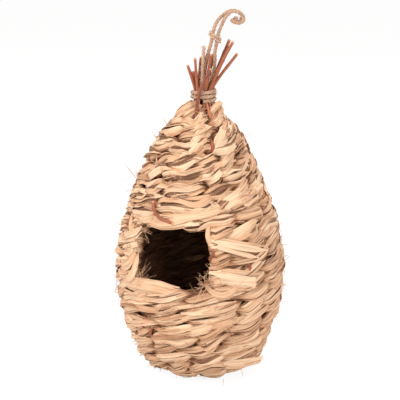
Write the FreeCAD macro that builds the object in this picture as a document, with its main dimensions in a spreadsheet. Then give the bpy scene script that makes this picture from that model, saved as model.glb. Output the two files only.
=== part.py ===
"""Hand-woven grass nest pod with a twig frame, modelled as a parametric document.

Twelve twig stakes rise from a three-over-three cross in the base, bow out to the belly and meet
in a bound neck. Pairs of grass weavers are twined round them, one row above the other, and turn
back on themselves at the two stakes beside the entrance. Millimetres, +Z up, the entrance
faces -Y, and the origin is at the middle of the surface that the pod stands on.
"""

import FreeCAD
import Part
import math
import os
from FreeCAD import Placement, Rotation, Vector

# alias: (value, what it is); every alias becomes a cell of the sheet
DIMENSIONS = {
    "twig_diameter": (2.6, "stake thickness"),
    "twig_clearance": (0.2, "play between a stake and the weavers round it"),
    "base_radius": (39.5, "corner of the stake line at the base"),
    "base_bend": (22.0, "bend of the stakes at the base corner"),
    "belly_radius": (60.8, "corner of the stake line at the belly"),
    "belly_height": (60.5, "height of the belly corner"),
    "belly_bend": (117.0, "bend of the stakes at the belly"),
    "shoulder_radius": (54.0, "corner of the stake line at the shoulder"),
    "shoulder_height": (120.0, "height of the shoulder corner"),
    "shoulder_bend": (175.0, "bend of the stakes at the shoulder"),
    "pairing_radius": (32.0, "where the stakes start to close up in pairs"),
    "pairing_height": (168.0, "height at which they start to close up"),
    "pairing_bend": (60.0, "bend of the stakes where they start to close up"),
    "crown_radius": (25.5, "corner of the stake line at the crown"),
    "crown_height": (181.5, "height of the crown corner"),
    "crown_bend": (32.0, "bend of the stakes at the crown"),
    "throat_radius": (8.2, "corner of the stake line below the binding"),
    "throat_height": (198.0, "height of the throat corner"),
    "throat_bend": (7.0, "bend of the stakes below the binding"),
    "neck_gap": (0.2, "play between neighbouring stakes inside the binding"),
    "neck_height": (206.0, "where the stakes run upright into the binding"),
    "neck_top": (218.0, "where the stakes leave the binding"),
    "neck_bend": (8.0, "bend of the stakes at either end of the binding"),
    "neck_shift_x": (2.4, "how far the neck leans to +X"),
    "neck_shift_y": (0.8, "how far the neck leans to +Y"),
    "pair_gap": (0.3, "play between paired stakes at the throat"),
    "cross_gap": (0.3, "play between parallel stakes in the base cross"),
    "layer_gap": (0.4, "play between the two layers of the base cross"),
    "cross_margin": (0.25, "how far each layer runs straight past the other"),
    "settling_run": (4.2, "run in which both layers of the cross reach the same height"),
    "level_run": (4.0, "run from there to where the crossing stakes begin to spread"),
    "spreading_run": (7.8, "run from there to where the stakes point straight outward"),
    "cross_bend": (5.5, "bends of the stakes in the base cross"),
    "weft_thickness": (3.3, "thickness of one flattened weaver"),
    "weft_gap": (0.35, "slit between weavers of neighbouring rows"),
    "twist_gap": (0.35, "play between the two weavers of a pair where they cross"),
    "weave_start": (8.2, "distance along the stake line to the first row's inner edge"),
    "weave_top": (196.5, "height of the last row's upper edge"),
    "door_sill": (78.5, "height of the entrance's lower edge"),
    "door_lintel": (123.5, "height of the entrance's upper edge"),
    "door_spread": (7.5, "degrees that the entrance's left edge stake is pulled aside"),
    "rows_below": (12, "rows from the base to the entrance"),
    "rows_beside": (5, "rows that stop at the entrance"),
    "rows_above": (8, "rows from the entrance to the crown"),
    "rows_paired": (3, "of those, rows that take two stakes at a time"),
    "stub_length": (3.0, "how far the cut stake stands above the sill row"),
    "twine_diameter": (2.9, "jute of the binding"),
    "binding_turns": (2.5, "turns of jute round the neck"),
    "binding_gap": (0.2, "slit between neighbouring turns of the binding"),
    "cord_diameter": (2.6, "jute of the hanging loop"),
    "hitch_diameter": (2.0, "jute of the hitch round the loop"),
    "hitch_turns": (1.5, "turns of jute round the two sides of the loop"),
    "hitch_gap": (0.3, "slit between neighbouring turns of the hitch"),
    "wrap_thickness": (2.6, "thickness of the bundles folded back beside the entrance"),
    "wrap_height": (9.0, "height of those bundles"),
}

STAKES = 12
STAKE_STEP = 360.0 / STAKES
FRONT = -90.0  # azimuth of the stake that is cut at the entrance
RUN_SHARE = 0.45  # share of the shorter run that an arc may use up
SPREAD_ROUNDING = 0.52  # rounding of the stakes' pull aside, as a share of its rise
RUN_ROOM = 0.98  # share of a run that the arcs at both its ends may use up together
SECTION_CORNERS = 6
STATIONS_PER_TURN = 8
SETTLING_SAMPLES = 361  # points of a weaver's edge that are searched for its lowest one
# the hanging loop: how far its points lie to the right, to the front and above the binding
LOOP_ROUTE = (
    (-1.6, -0.4, -7.0),
    (-1.6, -0.4, 1.0),
    (-0.7, -0.8, 10.0),
    (1.5, -0.9, 19.0),
    (4.3, -0.6, 27.0),
    (6.3, -0.3, 34.5),
    (7.2, -0.4, 41.0),
    (9.4, -1.2, 47.0),
    (14.2, -1.5, 52.2),
    (20.4, -1.8, 55.4),
    (25.9, -1.9, 54.2),
    (29.2, -2.3, 50.6),
    (28.6, -3.1, 47.4),
    (25.6, -3.5, 46.2),
    (20.5, -3.3, 47.9),
    (20.5, 3.3, 47.9),
    (25.6, 3.5, 46.2),
    (28.6, 3.1, 47.4),
    (29.2, 2.3, 50.6),
    (26.0, 1.8, 54.3),
    (20.6, 1.5, 55.2),
    (16.0, 1.5, 51.0),
    (12.9, 1.0, 44.6),
    (10.4, 0.3, 37.6),
    (9.2, 0.2, 31.0),
    (8.2, 0.1, 24.5),
    (8.4, 0.0, 18.5),
    (7.8, 0.2, 11.8),
    (5.0, 0.3, 5.0),
    (2.0, -0.4, -1.5),
    (2.0, -0.4, -7.0),
)
# the cut tail of the binding's jute, in the same terms
TAIL_ROUTE = (
    (-0.4, 2.2, -7.0),
    (-0.4, 2.2, 1.0),
    (-0.9, 2.2, 10.0),
    (-0.3, 1.9, 19.6),
    (0.3, 1.9, 29.6),
)
# where the hitch starts and ends along the loop, and half the distance between the two cords there
HITCH_AXIS = ((7.9, 0.0, 33.4), (8.9, 0.0, 38.8))
HITCH_HALF_SPAN = 1.9
# azimuth and height of the corners of the twig end that lies over the lintel
TUCK_ROUTE = (
    (-110.5, 139.0),
    (-109.0, 132.6),
    (-105.5, 129.6),
    (-99.5, 127.8),
    (-92.0, 126.6),
)
# azimuth and height at which each folded bundle starts and ends
EDGE_WRAPS = (((-60.5, 114.0), (-21.0, 102.0)), ((-60.5, 91.0), (-32.0, 84.5)))
# each long twig runs from one stake through the base cross to another
LONG_TWIGS = (
    ("middle_twig_front_back", 0, 6),
    ("right_twig_front_back", 1, 5),
    ("left_twig_front_back", 11, 7),
    ("middle_twig_crosswise", 3, 9),
    ("front_twig_crosswise", 2, 10),
    ("rear_twig_crosswise", 4, 8),
)
BASE_ROWS = 3
CROSS_GROUPS = 4  # the base cross shows as four groups of three stakes
FAN_AZIMUTH = 19.0  # the tips and the loop spread in the upright plane with this azimuth

# how far each stake's tip lies to the right, to the front and above the binding
TIPS = (
    (5.5, 9.5, 14.1),
    (5.6, 5.0, 24.5),
    (21.5, 6.6, 33.7),
    (24.8, 1.6, 24.3),
    (18.9, -2.6, 30.2),
    (19.2, -6.8, 33.5),
    (10.6, -7.6, 33.6),
    (6.2, -8.6, 36.0),
    (-1.8, -6.4, 20.8),
    (-7.8, -4.0, 10.5),
    (-11.8, 0.6, 15.6),
    (-6.2, 4.6, 21.4),
)


def make_sheet(doc):
    """The spreadsheet of driving dimensions, one alias a row."""
    sheet = doc.addObject("Spreadsheet::Sheet", "Sizes")
    for row, (alias, (value, meaning)) in enumerate(DIMENSIONS.items(), start=1):
        sheet.set(f"A{row}", meaning)
        sheet.set(f"B{row}", str(value))
        sheet.setAlias(f"B{row}", alias)
    doc.recompute()
    return sheet


def rounded_step(share, rounding):
    """A ramp from 0 to 1 over shares 0 to 1, with its upper corner rounded over a half width."""
    if share <= 0:
        return 0.0
    if share <= 1 - rounding:
        return share
    if share >= 1 + rounding:
        return 1.0
    return 1 - (1 + rounding - share) ** 2 / (4 * rounding)


def polar(radius, azimuth, height):
    """The point at a radius, an azimuth in degrees and a height."""
    angle = math.radians(azimuth)
    return Vector(radius * math.cos(angle), radius * math.sin(angle), height)


def rounded_route(points, bends=None):
    """A wire of straight runs joined by tangent arcs, and the arcs' radii.

    bends gives each corner's radius, as far as the runs beside it have room for it; without it
    every arc is as large as its two runs allow.
    """
    runs = [(after - before).Length for before, after in zip(points, points[1:])]
    corners = list(zip(points, points[1:], points[2:]))
    turns = [(corner - before).getAngle(after - corner) for before, corner, after in corners]
    if bends:
        reaches = [bend * math.tan(turn / 2) for bend, turn in zip(bends, turns)]
        needed = [one + other for one, other in zip([0.0] + reaches, reaches + [0.0])]
        shares = [min(1.0, RUN_ROOM * run / max(need, 1e-9)) for run, need in zip(runs, needed)]
        reaches = [reach * min(pair) for reach, pair in zip(reaches, zip(shares, shares[1:]))]
    else:
        reaches = [RUN_SHARE * min(pair) for pair in zip(runs, runs[1:])]
    edges, radii = [], []
    last = points[0]
    for (before, corner, after), turn, reach in zip(corners, turns, reaches):
        if turn < math.radians(0.3):
            continue
        arrive = (corner - before).normalize()
        leave = (after - corner).normalize()
        radius = reach / math.tan(turn / 2)
        start, end = corner - arrive * reach, corner + leave * reach
        inward = (leave - arrive).normalize()
        middle = corner + inward * (radius / math.cos(turn / 2) - radius)
        edges.append(Part.LineSegment(last, start).toShape())
        edges.append(Part.Arc(start, middle, end).toShape())
        radii.append(radius)
        last = end
    edges.append(Part.LineSegment(last, points[-1]).toShape())
    return Part.Wire(edges), radii


class StakeLine:
    """The line that every stake follows, as radius over height, read by distance along it."""

    def __init__(self, size, floor):
        self.floor = floor
        # radius, height and bend of each corner above the base
        self.corners = [
            (size.base_radius, floor, size.base_bend),
            (size.belly_radius, size.belly_height, size.belly_bend),
            (size.shoulder_radius, size.shoulder_height, size.shoulder_bend),
            (size.pairing_radius, size.pairing_height, size.pairing_bend),
            (size.crown_radius, size.crown_height, size.crown_bend),
            (size.throat_radius, size.throat_height, size.throat_bend),
        ]
        points = [Vector(0, 0, floor)]
        points += [Vector(radius, 0, height) for radius, height, _ in self.corners]
        wire, _ = rounded_route(points, [bend for _, _, bend in self.corners])
        self.edges = wire.Edges
        self.length = wire.Length

    def at(self, distance):
        """Radius, height, outward normal, onward tangent and curvature at a distance."""
        left = distance
        for edge in self.edges:
            if left <= edge.Length or edge is self.edges[-1]:
                break
            left -= edge.Length
        where = edge.getParameterByLength(min(left, edge.Length))
        point, onward = edge.valueAt(where), edge.tangentAt(where)
        outward = Vector(onward.z, 0, -onward.x)
        bend = 0.0
        if isinstance(edge.Curve, Part.Circle):
            side = (point - edge.Curve.Center).dot(outward)
            bend = math.copysign(1 / edge.Curve.Radius, side)
        return point.x, point.z, outward, onward, bend

    def distance_at_height(self, height):
        """How far along the line a height is reached."""
        low, high = 0.0, self.length
        while high - low > 1e-4:
            middle = (low + high) / 2
            if self.at(middle)[1] < height:
                low = middle
            else:
                high = middle
        return (low + high) / 2


class Size:
    """The sheet's values, and the few lengths that follow from them."""

    def __init__(self, sheet):
        for alias in DIMENSIONS:
            setattr(self, alias, float(sheet.get(alias)))
        self.sway = self.weft_thickness / 2 + self.twig_diameter / 2 + self.twig_clearance
        self.wall_reach = self.sway + self.weft_thickness / 2
        self.cross_pitch = self.twig_diameter + self.cross_gap
        self.cross_lift = (self.twig_diameter + self.layer_gap) / 2
        self.cross_half_length = 1.5 * self.cross_pitch + self.cross_margin
        self.cross_level = self.cross_half_length + self.settling_run
        self.cross_reach = self.cross_level + self.level_run
        self.spread_radius = self.cross_reach + self.spreading_run
        paired_half = (self.twig_diameter + self.pair_gap) / 2
        self.pair_half_angle = math.degrees(math.asin(paired_half / self.throat_radius))
        beside = self.twig_diameter + self.neck_gap
        self.neck_radius = beside / (2 * math.sin(math.radians(STAKE_STEP / 2)))
        self.binding_radius = self.neck_radius + self.twig_diameter / 2 + self.twine_diameter / 2
        self.binding_radius += self.twig_clearance
        self.binding_outside = self.binding_radius + self.twine_diameter / 2

    def spread(self, azimuth, height, rounding=SPREAD_ROUNDING):
        """An azimuth after the stakes left of the entrance are pulled aside.

        The pull is full between the belly and the shoulder and fades out towards the base, the
        crown, the entrance's right edge and the back. Without rounding it gives the corners of
        the stakes, whose arcs then round it.
        """
        from_edge = azimuth - (FRONT - STAKE_STEP)
        from_edge = (from_edge + 180.0) % 360.0 - 180.0
        reach = 2 * STAKE_STEP if from_edge > 0 else 4 * STAKE_STEP
        if abs(from_edge) >= reach:
            return azimuth
        below = rounded_step(height / self.belly_height, rounding)
        fade = self.pairing_height - self.shoulder_height
        above = rounded_step((self.pairing_height - height) / fade, rounding)
        pull = math.cos(math.pi / 2 * from_edge / reach) ** 2
        return azimuth - self.door_spread * pull * below * above


def settled_line(size):
    """The stake line at the height that lets the lowest weavers rest on the ground."""
    line = StakeLine(size, size.wall_reach)
    dips = []
    for row in weave_rows(size, line)[:BASE_ROWS]:
        for inner in (False, True):
            for curve in corner_curves(row.ring(inner), True):
                dips += [point.z for point in curve.discretize(Number=SETTLING_SAMPLES)]
    return StakeLine(size, size.wall_reach - min(dips))


class Row:
    """One row of twining: where it lies on the stake line and how its pair of weavers twists."""

    def __init__(self, name, line, size, middle, pitch, lumps, first_lump):
        self.name = name
        self.radius, self.height, self.outward, self.onward, self.bend = line.at(middle)
        self.pitch = pitch
        self.lumps = lumps
        self.first_lump = first_lump
        self.size = size
        # with fewer, wider lumps the pair lies flat over the whole group of stakes
        self.dwell = 0.2 if lumps == STAKES else 0.45
        # where the pair crosses, both weavers share the row's height
        self.crossing_thickness = (pitch - size.weft_gap - size.twist_gap) / 2

    def frame(self, azimuth, inner):
        """A weaver at an azimuth: centre, facing, lengthwise direction, thickness, half height."""
        size = self.size
        angle = math.radians(azimuth - self.first_lump)
        twist = self.lumps * angle / 2 - self.dwell * math.sin(self.lumps * angle)
        if inner:
            twist += math.pi
        spoke = polar(1, size.spread(azimuth, self.height), 0)
        up = Vector(0, 0, 1)
        out = spoke * self.outward.x + up * self.outward.z
        along = spoke * self.onward.x + up * self.onward.z
        centre = spoke * self.radius + up * self.height
        crossing = (self.crossing_thickness + size.twist_gap) / 2
        centre += out * (size.sway * math.cos(twist)) + along * (crossing * math.sin(twist))
        facing = out * math.cos(twist) + along * math.sin(twist)
        lengthwise = along * math.cos(twist) - out * math.sin(twist)
        flat = math.cos(twist) ** 2
        thickness = size.weft_thickness * flat + self.crossing_thickness * (1 - flat)
        # as tall as it can be, turned this far, between the rows below and above it
        turned = abs(math.sin(twist))
        room = (self.pitch - size.weft_gap) / 2
        spare = (self.crossing_thickness - size.weft_thickness) / 2
        short_side = room / (1 + turned) + spare * turned
        long_side = room - (crossing - thickness / 2) * turned
        half_height = math.sqrt(short_side * long_side)
        half_height *= 1 + self.bend * size.sway * math.cos(twist)
        return centre, facing, lengthwise, thickness, half_height

    def section(self, azimuth, inner, backward=False):
        """The weaver's six corners at an azimuth; backward is for one that runs clockwise."""
        centre, facing, lengthwise, thickness, half_height = self.frame(azimuth, inner)
        if backward:
            lengthwise = lengthwise * -1
        return flat_hexagon(centre, facing, lengthwise, thickness, half_height)

    def ring(self, inner):
        """Sections of one weaver all the way round."""
        count = self.lumps * STATIONS_PER_TURN // 2
        turns = [self.first_lump + 360.0 * step / count for step in range(count)]
        return [self.section(azimuth, inner) for azimuth in turns]

    def folded(self, right, left):
        """Sections of one weaver that goes round the back and folds round both edge stakes."""
        count = round((left - right) / 360.0 * self.lumps * STATIONS_PER_TURN / 2)
        azimuths = [right + (left - right) * step / count for step in range(count + 1)]
        sections = [self.section(azimuth, False) for azimuth in azimuths]
        sections += self.fold(left, 1)
        sections += [self.section(azimuth, True, True) for azimuth in reversed(azimuths)]
        sections += self.fold(right, -1)
        return sections

    def fold(self, azimuth, way):
        """Sections of the half turn round an edge stake, from one face of the wall to the other."""
        size = self.size
        _, outer_facing, lengthwise, thickness, half_height = self.frame(azimuth, False)
        turned = size.spread(azimuth, self.height)
        sideways = polar(1, turned + 90 * way, 0)
        stake = polar(self.radius, turned, self.height)
        steps = STATIONS_PER_TURN // 2
        sections = []
        for step in range(1, steps):
            angle = math.pi * step / steps
            if way < 0:
                angle = math.pi - angle
            facing = outer_facing * math.cos(angle) + sideways * math.sin(angle)
            centre = stake + facing * size.sway
            sections.append(flat_hexagon(centre, facing, lengthwise, thickness, half_height))
        return sections


def flat_hexagon(centre, facing, lengthwise, thickness, half_height):
    """Six corners of a flattened bundle: a flat face each side and a ridge at either edge."""
    corners = []
    for corner in range(SECTION_CORNERS):
        angle = math.pi * (2 * corner + 1) / SECTION_CORNERS
        across = thickness / 2 * math.cos(angle) / math.cos(math.pi / SECTION_CORNERS)
        corners.append(centre + facing * across + lengthwise * (half_height * math.sin(angle)))
    return corners


def blade_face(one, other, start, stop):
    """The ruled face between two corner curves, over a stretch of their shared parameter."""
    surface = Part.BSplineSurface()
    surface.buildFromPolesMultsKnots(
        [one.getPoles(), other.getPoles()],
        [2, 2],
        one.getMultiplicities(),
        [0.0, 1.0],
        one.getKnots(),
        False,
        one.isPeriodic(),
        1,
        one.Degree,
    )
    surface.segment(0.0, 1.0, float(start), float(stop))
    return surface.toShape()


def corner_curves(sections, closed):
    """A smooth curve along each of the sections' corners, with one knot at each section."""
    end = len(sections) if closed else len(sections) - 1
    knots = [float(step) for step in range(end + 1)]
    curves = []
    for corner in range(SECTION_CORNERS):
        curve = Part.BSplineCurve()
        points = [section[corner] for section in sections]
        curve.interpolate(Points=points, Parameters=knots, PeriodicFlag=closed)
        curves.append(curve)
    return curves


def bundle_solid(sections, closed):
    """A solid skinned along its corners: one long blade-like face per side and stretch."""
    end = len(sections) if closed else len(sections) - 1
    curves = corner_curves(sections, closed)
    marks = list(range(0, end, STATIONS_PER_TURN)) + [end]
    faces = []
    for start, stop in zip(marks, marks[1:]):
        for curve, neighbour in zip(curves, curves[1:] + curves[:1]):
            faces.append(blade_face(curve, neighbour, start, stop))
    if not closed:
        for section in (sections[0], sections[-1]):
            faces.append(Part.Face(Part.makePolygon(section + section[:1])))
    shell = Part.makeShell(faces)
    shell.sewShape()
    solid = Part.makeSolid(shell)
    if solid.Volume < 0:
        solid.reverse()
    return solid


def weave_rows(size, line):
    """Every row of twining from the middle of the base to the crown."""
    sill = line.distance_at_height(size.door_sill)
    lintel = line.distance_at_height(size.door_lintel)
    top = line.distance_at_height(size.weave_top)
    below, beside, above = int(size.rows_below), int(size.rows_beside), int(size.rows_above)
    paired = int(size.rows_paired)
    bands = (
        ("base_row", size.weave_start, sill, below, 0, BASE_ROWS),
        ("lower_row", size.weave_start, sill, below, BASE_ROWS, below),
        ("door_row", sill, lintel, beside, 0, beside),
        ("upper_row", lintel, top, above, 0, above - paired),
        ("crown_row", lintel, top, above, above - paired, above),
    )
    rows = []
    for name, start, stop, count, first, last in bands:
        pitch = (stop - start) / count
        for index in range(first, last):
            lumps, first_lump = STAKES, FRONT
            if name == "base_row" and index == 0:
                lumps = CROSS_GROUPS
            elif name == "door_row":
                first_lump = FRONT + STAKE_STEP
            elif name == "crown_row":
                lumps, first_lump = STAKES // 2, FRONT + STAKE_STEP / 2
            middle = start + pitch * (index + 0.5)
            title = f"{name}_{index - first + 1}"
            rows.append(Row(title, line, size, middle, pitch, lumps, first_lump))
    return rows


def pair_azimuth(index, size):
    """Azimuth of a stake at the crown, where it has closed up with its neighbour."""
    pair_middle = FRONT + STAKE_STEP * (index // 2 * 2 + 0.5)
    return pair_middle + size.pair_half_angle * (1 if index % 2 else -1)


def neck_point(size, radius, azimuth, height):
    """A point by radius and azimuth round the leaning neck."""
    return polar(radius, azimuth, height) + Vector(size.neck_shift_x, size.neck_shift_y, 0)


def stake_corners(index, size, line):
    """Corners of one stake, each with its bend, from the cross in the base to its tip."""
    azimuth = FRONT + STAKE_STEP * index
    group = round((azimuth - FRONT) / 90.0)
    heading = FRONT + 90.0 * group
    sideways = (azimuth - heading) / STAKE_STEP * size.cross_pitch
    layer = line.floor + size.cross_lift * (1 if group % 2 else -1)
    forward, left = polar(1, heading, 0), polar(1, heading + 90, 0)
    start = forward * size.cross_half_length + left * sideways + Vector(0, 0, layer)
    level = forward * size.cross_level + left * sideways + Vector(0, 0, line.floor)
    corners = [(start, size.cross_bend), (level, size.cross_bend)]
    if sideways:
        reach = forward * size.cross_reach + left * sideways + Vector(0, 0, line.floor)
        corners.append((reach, size.cross_bend))
        corners.append((polar(size.spread_radius, azimuth, line.floor), size.cross_bend))
    for radius, height, bend in line.corners:
        closed_up = height >= size.crown_height
        turned = pair_azimuth(index, size) if closed_up else size.spread(azimuth, height, 0)
        corners.append((polar(radius, turned, height), bend))
    neck_radius = size.neck_radius
    if index == 0:
        neck_radius = size.binding_outside + size.twig_diameter / 2 + size.twig_clearance
    for height in (size.neck_height, size.neck_top):
        corners.append((neck_point(size, neck_radius, azimuth, height), size.neck_bend))
    corners.append((view_point(size, *TIPS[index]), 0.0))
    return corners


def stake_wire(corners):
    """The route of a twig through corners that have their own bends."""
    bends = [bend for _, bend in corners[1:-1]]
    return rounded_route([point for point, _ in corners], bends)[0]


def view_point(size, sideways, depth, height):
    """A point beside the neck: to its right, towards the front and above the stakes' neck."""
    across = polar(sideways, FAN_AZIMUTH, 0)
    towards = polar(depth, FAN_AZIMUTH - 90, 0)
    return across + towards + Vector(size.neck_shift_x, size.neck_shift_y, size.neck_top + height)


def add_tube(doc, name, wire, diameter):
    """A round rod or cord: a circle bound to a cell of the sheet, swept along a route."""
    path = doc.addObject("Part::Feature", f"{name}_path")
    path.Shape = wire
    start = wire.Edges[0]
    onward = start.tangentAt(start.FirstParameter)
    circle = doc.addObject("Part::Circle", f"{name}_section")
    circle.setExpression("Radius", f"Sizes.{diameter} / 2")
    circle.Placement = Placement(
        start.valueAt(start.FirstParameter), Rotation(Vector(0, 0, 1), onward)
    )
    sweep = doc.addObject("Part::Sweep", f"{name}_sweep")
    sweep.Sections = [circle]
    sweep.Spine = (path, [f"Edge{number}" for number in range(1, len(wire.Edges) + 1)])
    sweep.Solid = True
    return sweep


def view_route(size, route):
    """The points of a route given in the loop's own terms."""
    return [view_point(size, *point) for point in route]


def add_cutter(doc, name, bottom, top):
    """A box over the front stake, between two heights given as expressions."""
    box = doc.addObject("Part::Box", f"{name}_cutter")
    box.setExpression("Length", "Sizes.belly_radius * 2")
    box.setExpression("Width", "Sizes.belly_radius * 2")
    box.setExpression("Height", f"{top} - ({bottom})")
    box.setExpression("Placement.Base.x", "-Sizes.belly_radius")
    box.setExpression("Placement.Base.y", "-Sizes.belly_radius * 2")
    box.setExpression("Placement.Base.z", bottom)
    return box


def add_cut(doc, name, base, tool):
    """A boolean cut of one object by another."""
    cut = doc.addObject("Part::Cut", f"{name}_cut")
    cut.Base = base
    cut.Tool = tool
    return cut


def add_stakes(doc, size, line):
    """Six long twigs that cross in the base, and the upper end of the one cut at the entrance."""
    stakes = {}
    halves = [stake_corners(index, size, line) for index in range(STAKES)]
    for name, near, far in LONG_TWIGS:
        wire = stake_wire(halves[far][::-1] + halves[near])
        stakes[name] = add_tube(doc, name, wire, "twig_diameter")
    cut_name = LONG_TWIGS[0][0]
    above = add_cutter(
        doc, cut_name, "Sizes.door_sill + Sizes.stub_length", "Sizes.neck_top + Sizes.neck_height"
    )
    stakes[cut_name] = add_cut(doc, cut_name, stakes[cut_name], above)
    whole = add_tube(doc, "door_twig_upper", stake_wire(halves[0]), "twig_diameter")
    below = add_cutter(doc, "door_twig_upper", "0", "Sizes.door_lintel")
    stakes["door_twig_upper"] = add_cut(doc, "door_twig_upper", whole, below)
    return stakes


def on_surface(size, line, azimuth, height, lift):
    """A point a little outside the weave, and the wall's outward direction there."""
    radius, level, outward, _, _ = line.at(line.distance_at_height(height))
    out = polar(outward.x, azimuth, outward.z)
    stand = math.hypot(size.wall_reach, size.wrap_height / 4) + size.twig_clearance + lift
    return polar(radius, azimuth, level) + out * stand, out


def add_tuck(doc, size, line):
    """The bent end of twig that lies over the lintel, to the left of the cut stake."""
    lift = size.twig_diameter / 2
    points = [on_surface(size, line, azimuth, height, lift)[0] for azimuth, height in TUCK_ROUTE]
    wire, _ = rounded_route(points)
    return add_tube(doc, "door_twig_tuck", wire, "twig_diameter")


def edge_wrap(size, line, start, stop):
    """A flat bundle folded back over the wall beside the entrance, tapered at both ends."""
    steps = 2 * STATIONS_PER_TURN
    lift = size.wrap_thickness / 2
    middles, outs = [], []
    for step in range(steps + 1):
        share = step / steps
        azimuth = start[0] + (stop[0] - start[0]) * share
        height = start[1] + (stop[1] - start[1]) * share
        middle, out = on_surface(size, line, azimuth, height, lift)
        middles.append(middle)
        outs.append(out)
    sections = []
    for step, (middle, out) in enumerate(zip(middles, outs)):
        onward = middles[min(step + 1, steps)] - middles[max(step - 1, 0)]
        lengthwise = out.cross(onward).normalize()
        taper = 0.35 + 0.65 * math.sin(math.pi * step / steps)
        half_height = size.wrap_height / 2 * taper
        sections.append(flat_hexagon(middle, out, lengthwise, size.wrap_thickness, half_height))
    return bundle_solid(sections, False)


def wound_route(centre, right, front, up, radius, half_span, pitch, turns):
    """The corners of a cord wound round one round thing, or round two that lie side by side.

    There are eight corners to a turn, and half_span is half the distance between the two.
    """
    corners = 8
    reach = radius / math.cos(math.pi / corners)
    points = []
    for step in range(int(turns * corners) + 1):
        angle = 2 * math.pi * step / corners
        side = round(math.cos(angle))
        across = right * (reach * math.cos(angle) + half_span * side)
        rise = up * (pitch * (step / corners - turns / 2))
        points.append(centre + across + front * (reach * math.sin(angle)) + rise)
    return points


def add_jute(doc, size):
    """The binding, the hanging loop, the hitch that holds it together, and the cut tail."""
    right, front = polar(1, FAN_AZIMUTH, 0), polar(1, FAN_AZIMUTH - 90, 0)
    up = Vector(0, 0, 1)
    middle = neck_point(size, 0, 0, (size.neck_height + size.neck_top) / 2)
    turns = wound_route(
        middle,
        front,
        right,
        up,
        size.binding_radius,
        0,
        size.twine_diameter + size.binding_gap,
        size.binding_turns,
    )
    jute = {}
    for name, points, diameter in (
        ("neck_binding", turns, "twine_diameter"),
        ("hanging_loop", view_route(size, LOOP_ROUTE), "cord_diameter"),
        ("twine_tail", view_route(size, TAIL_ROUTE), "cord_diameter"),
    ):
        wire, radii = rounded_route(points)
        print(name, "length", round(wire.Length, 1), "radii", [round(r, 1) for r in radii])
        jute[name] = add_tube(doc, name, wire, diameter)
    lower, upper = (view_point(size, *point) for point in HITCH_AXIS)
    rise = (upper - lower).normalize()
    tight = size.cord_diameter / 2 + size.hitch_diameter / 2 + size.twig_clearance
    points = wound_route(
        (lower + upper) / 2,
        front.cross(rise) * -1,
        front,
        rise,
        tight,
        HITCH_HALF_SPAN,
        size.hitch_diameter + size.hitch_gap,
        size.hitch_turns,
    )
    wire, _ = rounded_route(points)
    jute["loop_hitch"] = add_tube(doc, "loop_hitch", wire, "hitch_diameter")
    return jute


def add_weave(doc, size, line):
    """One node for each row, with its weavers as separate solids, and the two folded bundles."""
    right, left = FRONT + STAKE_STEP, FRONT + STAKE_STEP * (STAKES - 1)
    weave = {}
    for row in weave_rows(size, line):
        if row.name.startswith("door_row"):
            weavers = [bundle_solid(row.folded(right, left), True)]
        else:
            weavers = [bundle_solid(row.ring(inner), True) for inner in (False, True)]
        weave[row.name] = add_shape(doc, row.name, Part.makeCompound(weavers))
    for number, (start, stop) in enumerate(EDGE_WRAPS, start=1):
        name = f"edge_wrap_{number}"
        weave[name] = add_shape(doc, name, edge_wrap(size, line, start, stop))
    return weave


def add_shape(doc, name, shape):
    """A feature with a shape of its own, placed at the origin."""
    feature = doc.addObject("Part::Feature", f"{name}_woven")
    feature.Shape = shape
    feature.Placement = Placement()
    return feature


def check(doc, subparts):
    """Stops the build if an object failed or a sub-part is empty or broken."""
    for feature in doc.Objects:
        if "Invalid" in feature.State or "Error" in feature.State:
            raise RuntimeError(f"{feature.Name} is in state {feature.State}")
    for name, feature in subparts.items():
        if feature.Shape.isNull() or not feature.Shape.isValid() or not feature.Shape.Solids:
            raise RuntimeError(f"{name} has no valid solid")


def main():
    """Builds the document, labels its sub-parts and writes each one as STEP."""
    doc = FreeCAD.newDocument("nest_pod")
    size = Size(make_sheet(doc))
    line = settled_line(size)
    subparts = add_stakes(doc, size, line)
    subparts["door_twig_tuck"] = add_tuck(doc, size, line)
    subparts.update(add_weave(doc, size, line))
    subparts.update(add_jute(doc, size))
    doc.recompute()
    for name, feature in subparts.items():
        feature.Label = name
    check(doc, subparts)
    os.makedirs("parts", exist_ok=True)
    for name, feature in subparts.items():
        feature.Shape.exportStep(f"parts/{name}.step")
    print(len(subparts), "sub-parts")


main()
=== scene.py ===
"""Visual model of a hand-woven grass nest pod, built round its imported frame.

The frame gives the place of every row, twig and cord. Each row of twining is rebuilt as two
twisted bundles of flattened grass blades, the twigs get bark, knots and cut ends, and the jute
is laid up from strands. Lengths in the mesh code are millimetres, and MM turns them into the
frame's metres.
"""

import logging
import math
from dataclasses import dataclass, field, fields
from enum import Enum

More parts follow.
